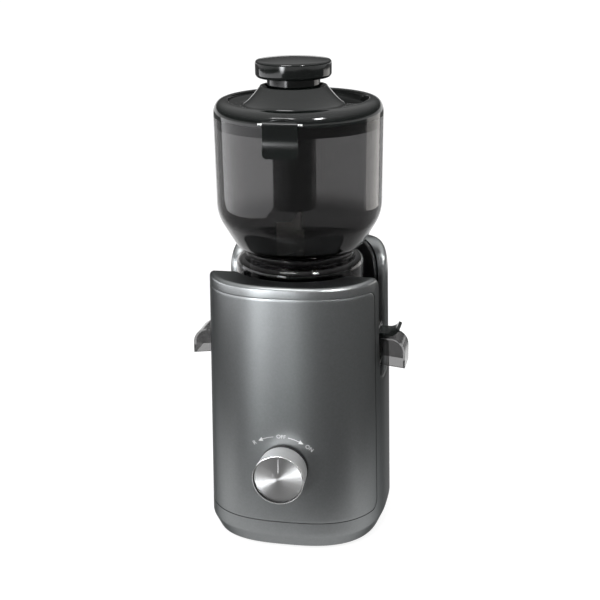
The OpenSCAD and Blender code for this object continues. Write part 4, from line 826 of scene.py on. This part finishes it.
def lid_rows():
    """From the rim's lower edge over the ring, the dish, the flare and the chute's lip, down the bore,
    up the guide tube and back under the dish. The ring's crest is 2 mm lower in front."""
    around = np.linspace(0, 2 * math.pi, LID_COLUMNS, endpoint=False)
    fore = np.clip(-np.sin(around), 0, 1) ** 1.5
    angle = np.linspace(0, math.pi / 2, 18)[1:]
    ring = [(LID_R, RIM_Z), (LID_R, RING_Z - 0.2)]
    ring += list(zip(LID_R - RING_W + RING_W * np.cos(angle) ** 0.7, RING_Z + RING_H * np.sin(angle)))
    ring += [(62.5, 396.35), (62.1, 395.9)]
    rows = []
    for radius, z in ring:
        lower = 2.0 * np.clip((z - 384) / 12.5, 0, 1) * fore
        rows.append([radius * np.cos(around), radius * np.sin(around), z - lower])
    for v in np.concatenate([np.linspace(1, 0.9, 8), np.linspace(0.88, 0, 52)]):
        radius, centre = LIP_R + (DISH_R - LIP_R) * v, CHUTE_Y * (1 - v)
        x, y = radius * np.cos(around), centre + radius * np.sin(around)
        rows.append([x, y, lid_height(x, y)])
    lip = [(29.0, 409.85), (28.7, 410.0), (28.2, 409.9), (27.5, 409.3), (25.6, 405.6), (23.5, 401.4)]
    bore = [(23.3, 400.6), (23.3, 391.1), (23.0, 390.8), (19.8, 390.8), (19.5, 390.5)]
    guide = [(19.5, 381.9), (26.0, 381.9), (26.0, 385.9)]
    for radius, z in lip + bore + guide:
        rows.append([radius * np.cos(around), CHUTE_Y + radius * np.sin(around), z + 0 * around])
    for radius, z in ((61.5, 385.9), (61.5, RIM_Z)):
        rows.append([radius * np.cos(around), radius * np.sin(around), z + 0 * around])
    rows = np.moveaxis(np.array(rows), 1, -1)
    by_latch = (np.abs(rows[..., 0]) < LATCH_HALF) & (rows[..., 2] < 389)
    rows[..., 1] = np.where(by_latch, np.maximum(rows[..., 1], LATCH_FLAT), rows[..., 1])
    return rows


def along_x(profile, low, high):
    """A closed (y, z) outline drawn from x = low to x = high, with both ends closed to a middle point."""
    profile = np.asarray(profile, float)
    middle = profile.mean(0)
    rows = [(low, 0.0), (low, 1.0), (high, 1.0), (high, 0.0)]
    points = [np.column_stack([np.full(len(profile), x), middle + share * (profile - middle)])
              for x, share in rows]
    return np.array(points), grid_faces(4, len(profile))


HINGE_Y, HINGE_Z, BARREL_R, BARREL_HALF, WEB_Y, WEB_LOW, WEB_HIGH = 79.6, 384.0, 4.0, 8.7, 69, 382.4, 386.8
barrel, _ = arc_points((HINGE_Y, HINGE_Z), BARREL_R, 0, 352.5, 48)
web = [(WEB_Y, WEB_LOW), (HINGE_Y, WEB_LOW), (HINGE_Y, WEB_HIGH), (WEB_Y, WEB_HIGH)]
lid_surface = lid_rows()
lid_quads = grid_faces(len(lid_surface), LID_COLUMNS, close_rows=True)
hinge = [along_x(profile, -BARREL_HALF, BARREL_HALF) for profile in (barrel, web)]
piece("lid", [(lid_surface, lid_quads)] + hinge, "lid", GLOSS_BLACK, ("lid_cover",), sharp=50)

# %% [markdown]
# The pusher's cap is turned: an upright side between two small rounds, and a top that is domed by
# 2.1 mm.

# %% Pusher cap
CAP_Z = 418.5
dome = [(30.2 * u, CAP_Z + 13.4 + 2.1 * (1 - u**2)) for u in np.linspace(0.98, 0, 24)]
cap_side, _ = arc_points((29.4, CAP_Z + 2.1), 3.6, -90, 0, 9)
cap_edge, _ = arc_points((30.3, CAP_Z + 10.7), 2.7, 0, 80, 9)
cap_profile = np.vstack([[(0, CAP_Z - 1.5), (21, CAP_Z - 1.5)], cap_side, cap_edge, dome])
piece("cap", [spun(cap_profile, 160, (0, CHUTE_Y), close=False)], "pusher", GLOSS_BLACK,
      ("pusher_cap",), sharp=50)

# %% [markdown]
# The juicer stands on a white floor, which looks white to the camera, in reflections and through the
# plastic, and still takes the juicer's shadow. Dark felt lies on it before the juicer and to both
# sides, out of the camera's sight, so that metal and black plastic have something dark to mirror.

# %% Floor and felt
FLOOR_HALF, FLOOR_TONE, FLOOR_LIFT = 40.0, 0.25, 0.84
FELT_HALF, FELT_Z, FELT_TONE, FELT_DENSE = 4.0, 0.0006, 0.05, 0.88


def sight_lines(tree):
    """1 for rays that show a surface: to the camera, in a mirror or through glass."""
    seen = node(tree, "ShaderNodeLightPath")
    paths = seen.outputs["Is Camera Ray"]
    for label in ("Is Glossy Ray", "Is Transmission Ray"):
        either = node(tree, "ShaderNodeMath", operation="MAXIMUM")
        tree.links.new(paths, either.inputs[0])
        tree.links.new(seen.outputs[label], either.inputs[1])
        paths = either.outputs[0]
    return paths


def floor_material():
    """White: a pale colour that takes shadows, lifted by a glow that only sight lines see."""
    material, tree, shader = new_material("white_floor")
    shader.inputs["Base Color"].default_value = (FLOOR_TONE, FLOOR_TONE, FLOOR_TONE, 1)
    shader.inputs["Roughness"].default_value = 0.9
    shader.inputs["Specular IOR Level"].default_value = 0.1
    lift = node(tree, "ShaderNodeMath", operation="MULTIPLY")
    lift.inputs[1].default_value = FLOOR_LIFT
    tree.links.new(sight_lines(tree), lift.inputs[0])
    shader.inputs["Emission Color"].default_value = (1, 1, 1, 1)
    tree.links.new(lift.outputs[0], shader.inputs["Emission Strength"])
    return material


def felt_material(directions):
    """Black felt that begins softly: past a line, given by a direction and two distances along it, it
    goes from clear to dense as a smooth step."""
    material, tree, shader = new_material("dark_felt")
    shader.inputs["Base Color"].default_value = (FELT_TONE, FELT_TONE, FELT_TONE, 1)
    shader.inputs["Roughness"].default_value = 1.0
    shader.inputs["Specular IOR Level"].default_value = 0.0
    place = node(tree, "ShaderNodeTexCoord")
    cover = None
    for across, begin, end in directions:
        far = node(tree, "ShaderNodeVectorMath", operation="DOT_PRODUCT")
        far.inputs[1].default_value = across
        tree.links.new(place.outputs["Object"], far.inputs[0])
        side = node(tree, "ShaderNodeMapRange", interpolation_type="SMOOTHSTEP")
        side.inputs["From Min"].default_value, side.inputs["From Max"].default_value = begin, end
        side.inputs["To Max"].default_value = FELT_DENSE
        tree.links.new(far.outputs["Value"], side.inputs["Value"])
        if cover is None:
            cover = side.outputs["Result"]
            continue
        most = node(tree, "ShaderNodeMath", operation="MAXIMUM")
        tree.links.new(cover, most.inputs[0])
        tree.links.new(side.outputs["Result"], most.inputs[1])
        cover = most.outputs[0]
    tree.links.new(cover, shader.inputs["Alpha"])
    return material


def flat_sheet(name, size, z, material):
    mesh = bpy.data.meshes.new(name)
    corners = [(-size, -size, z), (size, -size, z), (size, size, z), (-size, size, z)]
    mesh.from_pydata(corners, [], [(0, 1, 2, 3)])
    mesh.materials.append(material)
    obj = bpy.data.objects.new(name, mesh)
    scene.collection.objects.link(obj)
    return obj


flat_sheet("floor", FLOOR_HALF, 0.0, floor_material())
felt = flat_sheet("felt", FELT_HALF, FELT_Z, felt_material((
    ((0.18, -1, 0), 0.05, 0.23), ((1, -0.03, 0), 0.07, 0.34), ((-1, -0.45, 0), 0.16, 0.52))))
felt.visible_camera = False
felt.visible_diffuse = False
felt.visible_transmission = False
felt.visible_shadow = False

print("floor and felt laid")

# %% [markdown]
# The room is dim at eye level and bright overhead. Its lowest strip, just over the floor's far edge, is
# as white as the floor wherever it is seen, so that no horizon shows.

# %% Room
EYE_LEVEL, OVERHEAD = 0.10, 1.25
STRIP_TOP = 0.065


def room():
    """Strength by the height z of a direction: a smooth step from eye level to overhead between z = 0.1
    and 0.95, and at least 1 below z = 0.065 for sight lines."""
    world = bpy.data.worlds.new("studio")
    scene.world = world
    world.use_nodes = True
    tree = world.node_tree
    background = tree.nodes["Background"]
    way = node(tree, "ShaderNodeTexCoord")
    split = node(tree, "ShaderNodeSeparateXYZ")
    tree.links.new(way.outputs["Generated"], split.inputs[0])
    ramp = node(tree, "ShaderNodeMapRange", interpolation_type="SMOOTHSTEP")
    ramp.inputs["From Min"].default_value, ramp.inputs["From Max"].default_value = 0.1, 0.95
    ramp.inputs["To Min"].default_value, ramp.inputs["To Max"].default_value = EYE_LEVEL, OVERHEAD
    tree.links.new(split.outputs["Z"], ramp.inputs["Value"])
    strip = node(tree, "ShaderNodeMath", operation="LESS_THAN")
    strip.inputs[1].default_value = STRIP_TOP
    tree.links.new(split.outputs["Z"], strip.inputs[0])
    white = node(tree, "ShaderNodeMath", operation="MULTIPLY")
    tree.links.new(sight_lines(tree), white.inputs[0])
    tree.links.new(strip.outputs[0], white.inputs[1])
    brighter = node(tree, "ShaderNodeMath", operation="MAXIMUM")
    tree.links.new(white.outputs[0], brighter.inputs[0])
    tree.links.new(ramp.outputs["Result"], brighter.inputs[1])
    tree.links.new(brighter.outputs[0], background.inputs["Strength"])
    background.inputs["Color"].default_value = (1, 1, 1, 1)
    return world


print("room:", room().name)

# %% [markdown]
# Five lamps. A wide one over the front gives the metal its soft sheen, and a low one with a narrow beam
# fills the front. Two low panels at the sides draw the bright edges of the jar, and none shows itself.

# %% Lamps
def softbox(name, azimuth, height, distance, aim_height, size, radiance, colour=(1, 1, 1), spread=180):
    """A rectangular lamp: azimuth in degrees from the front, positive to the right of the juicer.
    A lamp of power P and area A has the radiance P / (pi A)."""
    lamp = bpy.data.lights.new(name, "AREA")
    lamp.shape = "RECTANGLE"
    lamp.size, lamp.size_y = size
    lamp.energy = radiance * math.pi * size[0] * size[1]
    lamp.color = colour
    lamp.spread = math.radians(spread)
    obj = bpy.data.objects.new(name, lamp)
    scene.collection.objects.link(obj)
    angle = math.radians(azimuth)
    place = Vector((distance * math.sin(angle), -distance * math.cos(angle), height))
    obj.location = place
    obj.rotation_euler = (place - Vector((0, 0, aim_height))).to_track_quat("Z", "Y").to_euler()
    obj.visible_camera = False
    print(name, "of", round(lamp.energy, 2), "W")
    return obj


softbox("key_softbox", -22, 0.21, 1.30, 0.21, (0.56, 0.40), 0.39, (0.96, 0.98, 1.0), spread=20)
softbox("front_top_softbox", -14, 1.35, 1.00, 0.35, (0.60, 0.34), 12.0)
softbox("right_kicker", 42, 0.95, 0.85, 0.22, (0.20, 0.20), 1.2, spread=14)
softbox("left_panel", -66, 0.25, 0.50, 0.25, (0.95, 0.19), 2.6, (0.98, 0.98, 1.0))
softbox("right_panel", 128, 0.25, 0.60, 0.25, (0.40, 0.20), 1.8, (1.0, 0.97, 0.93))
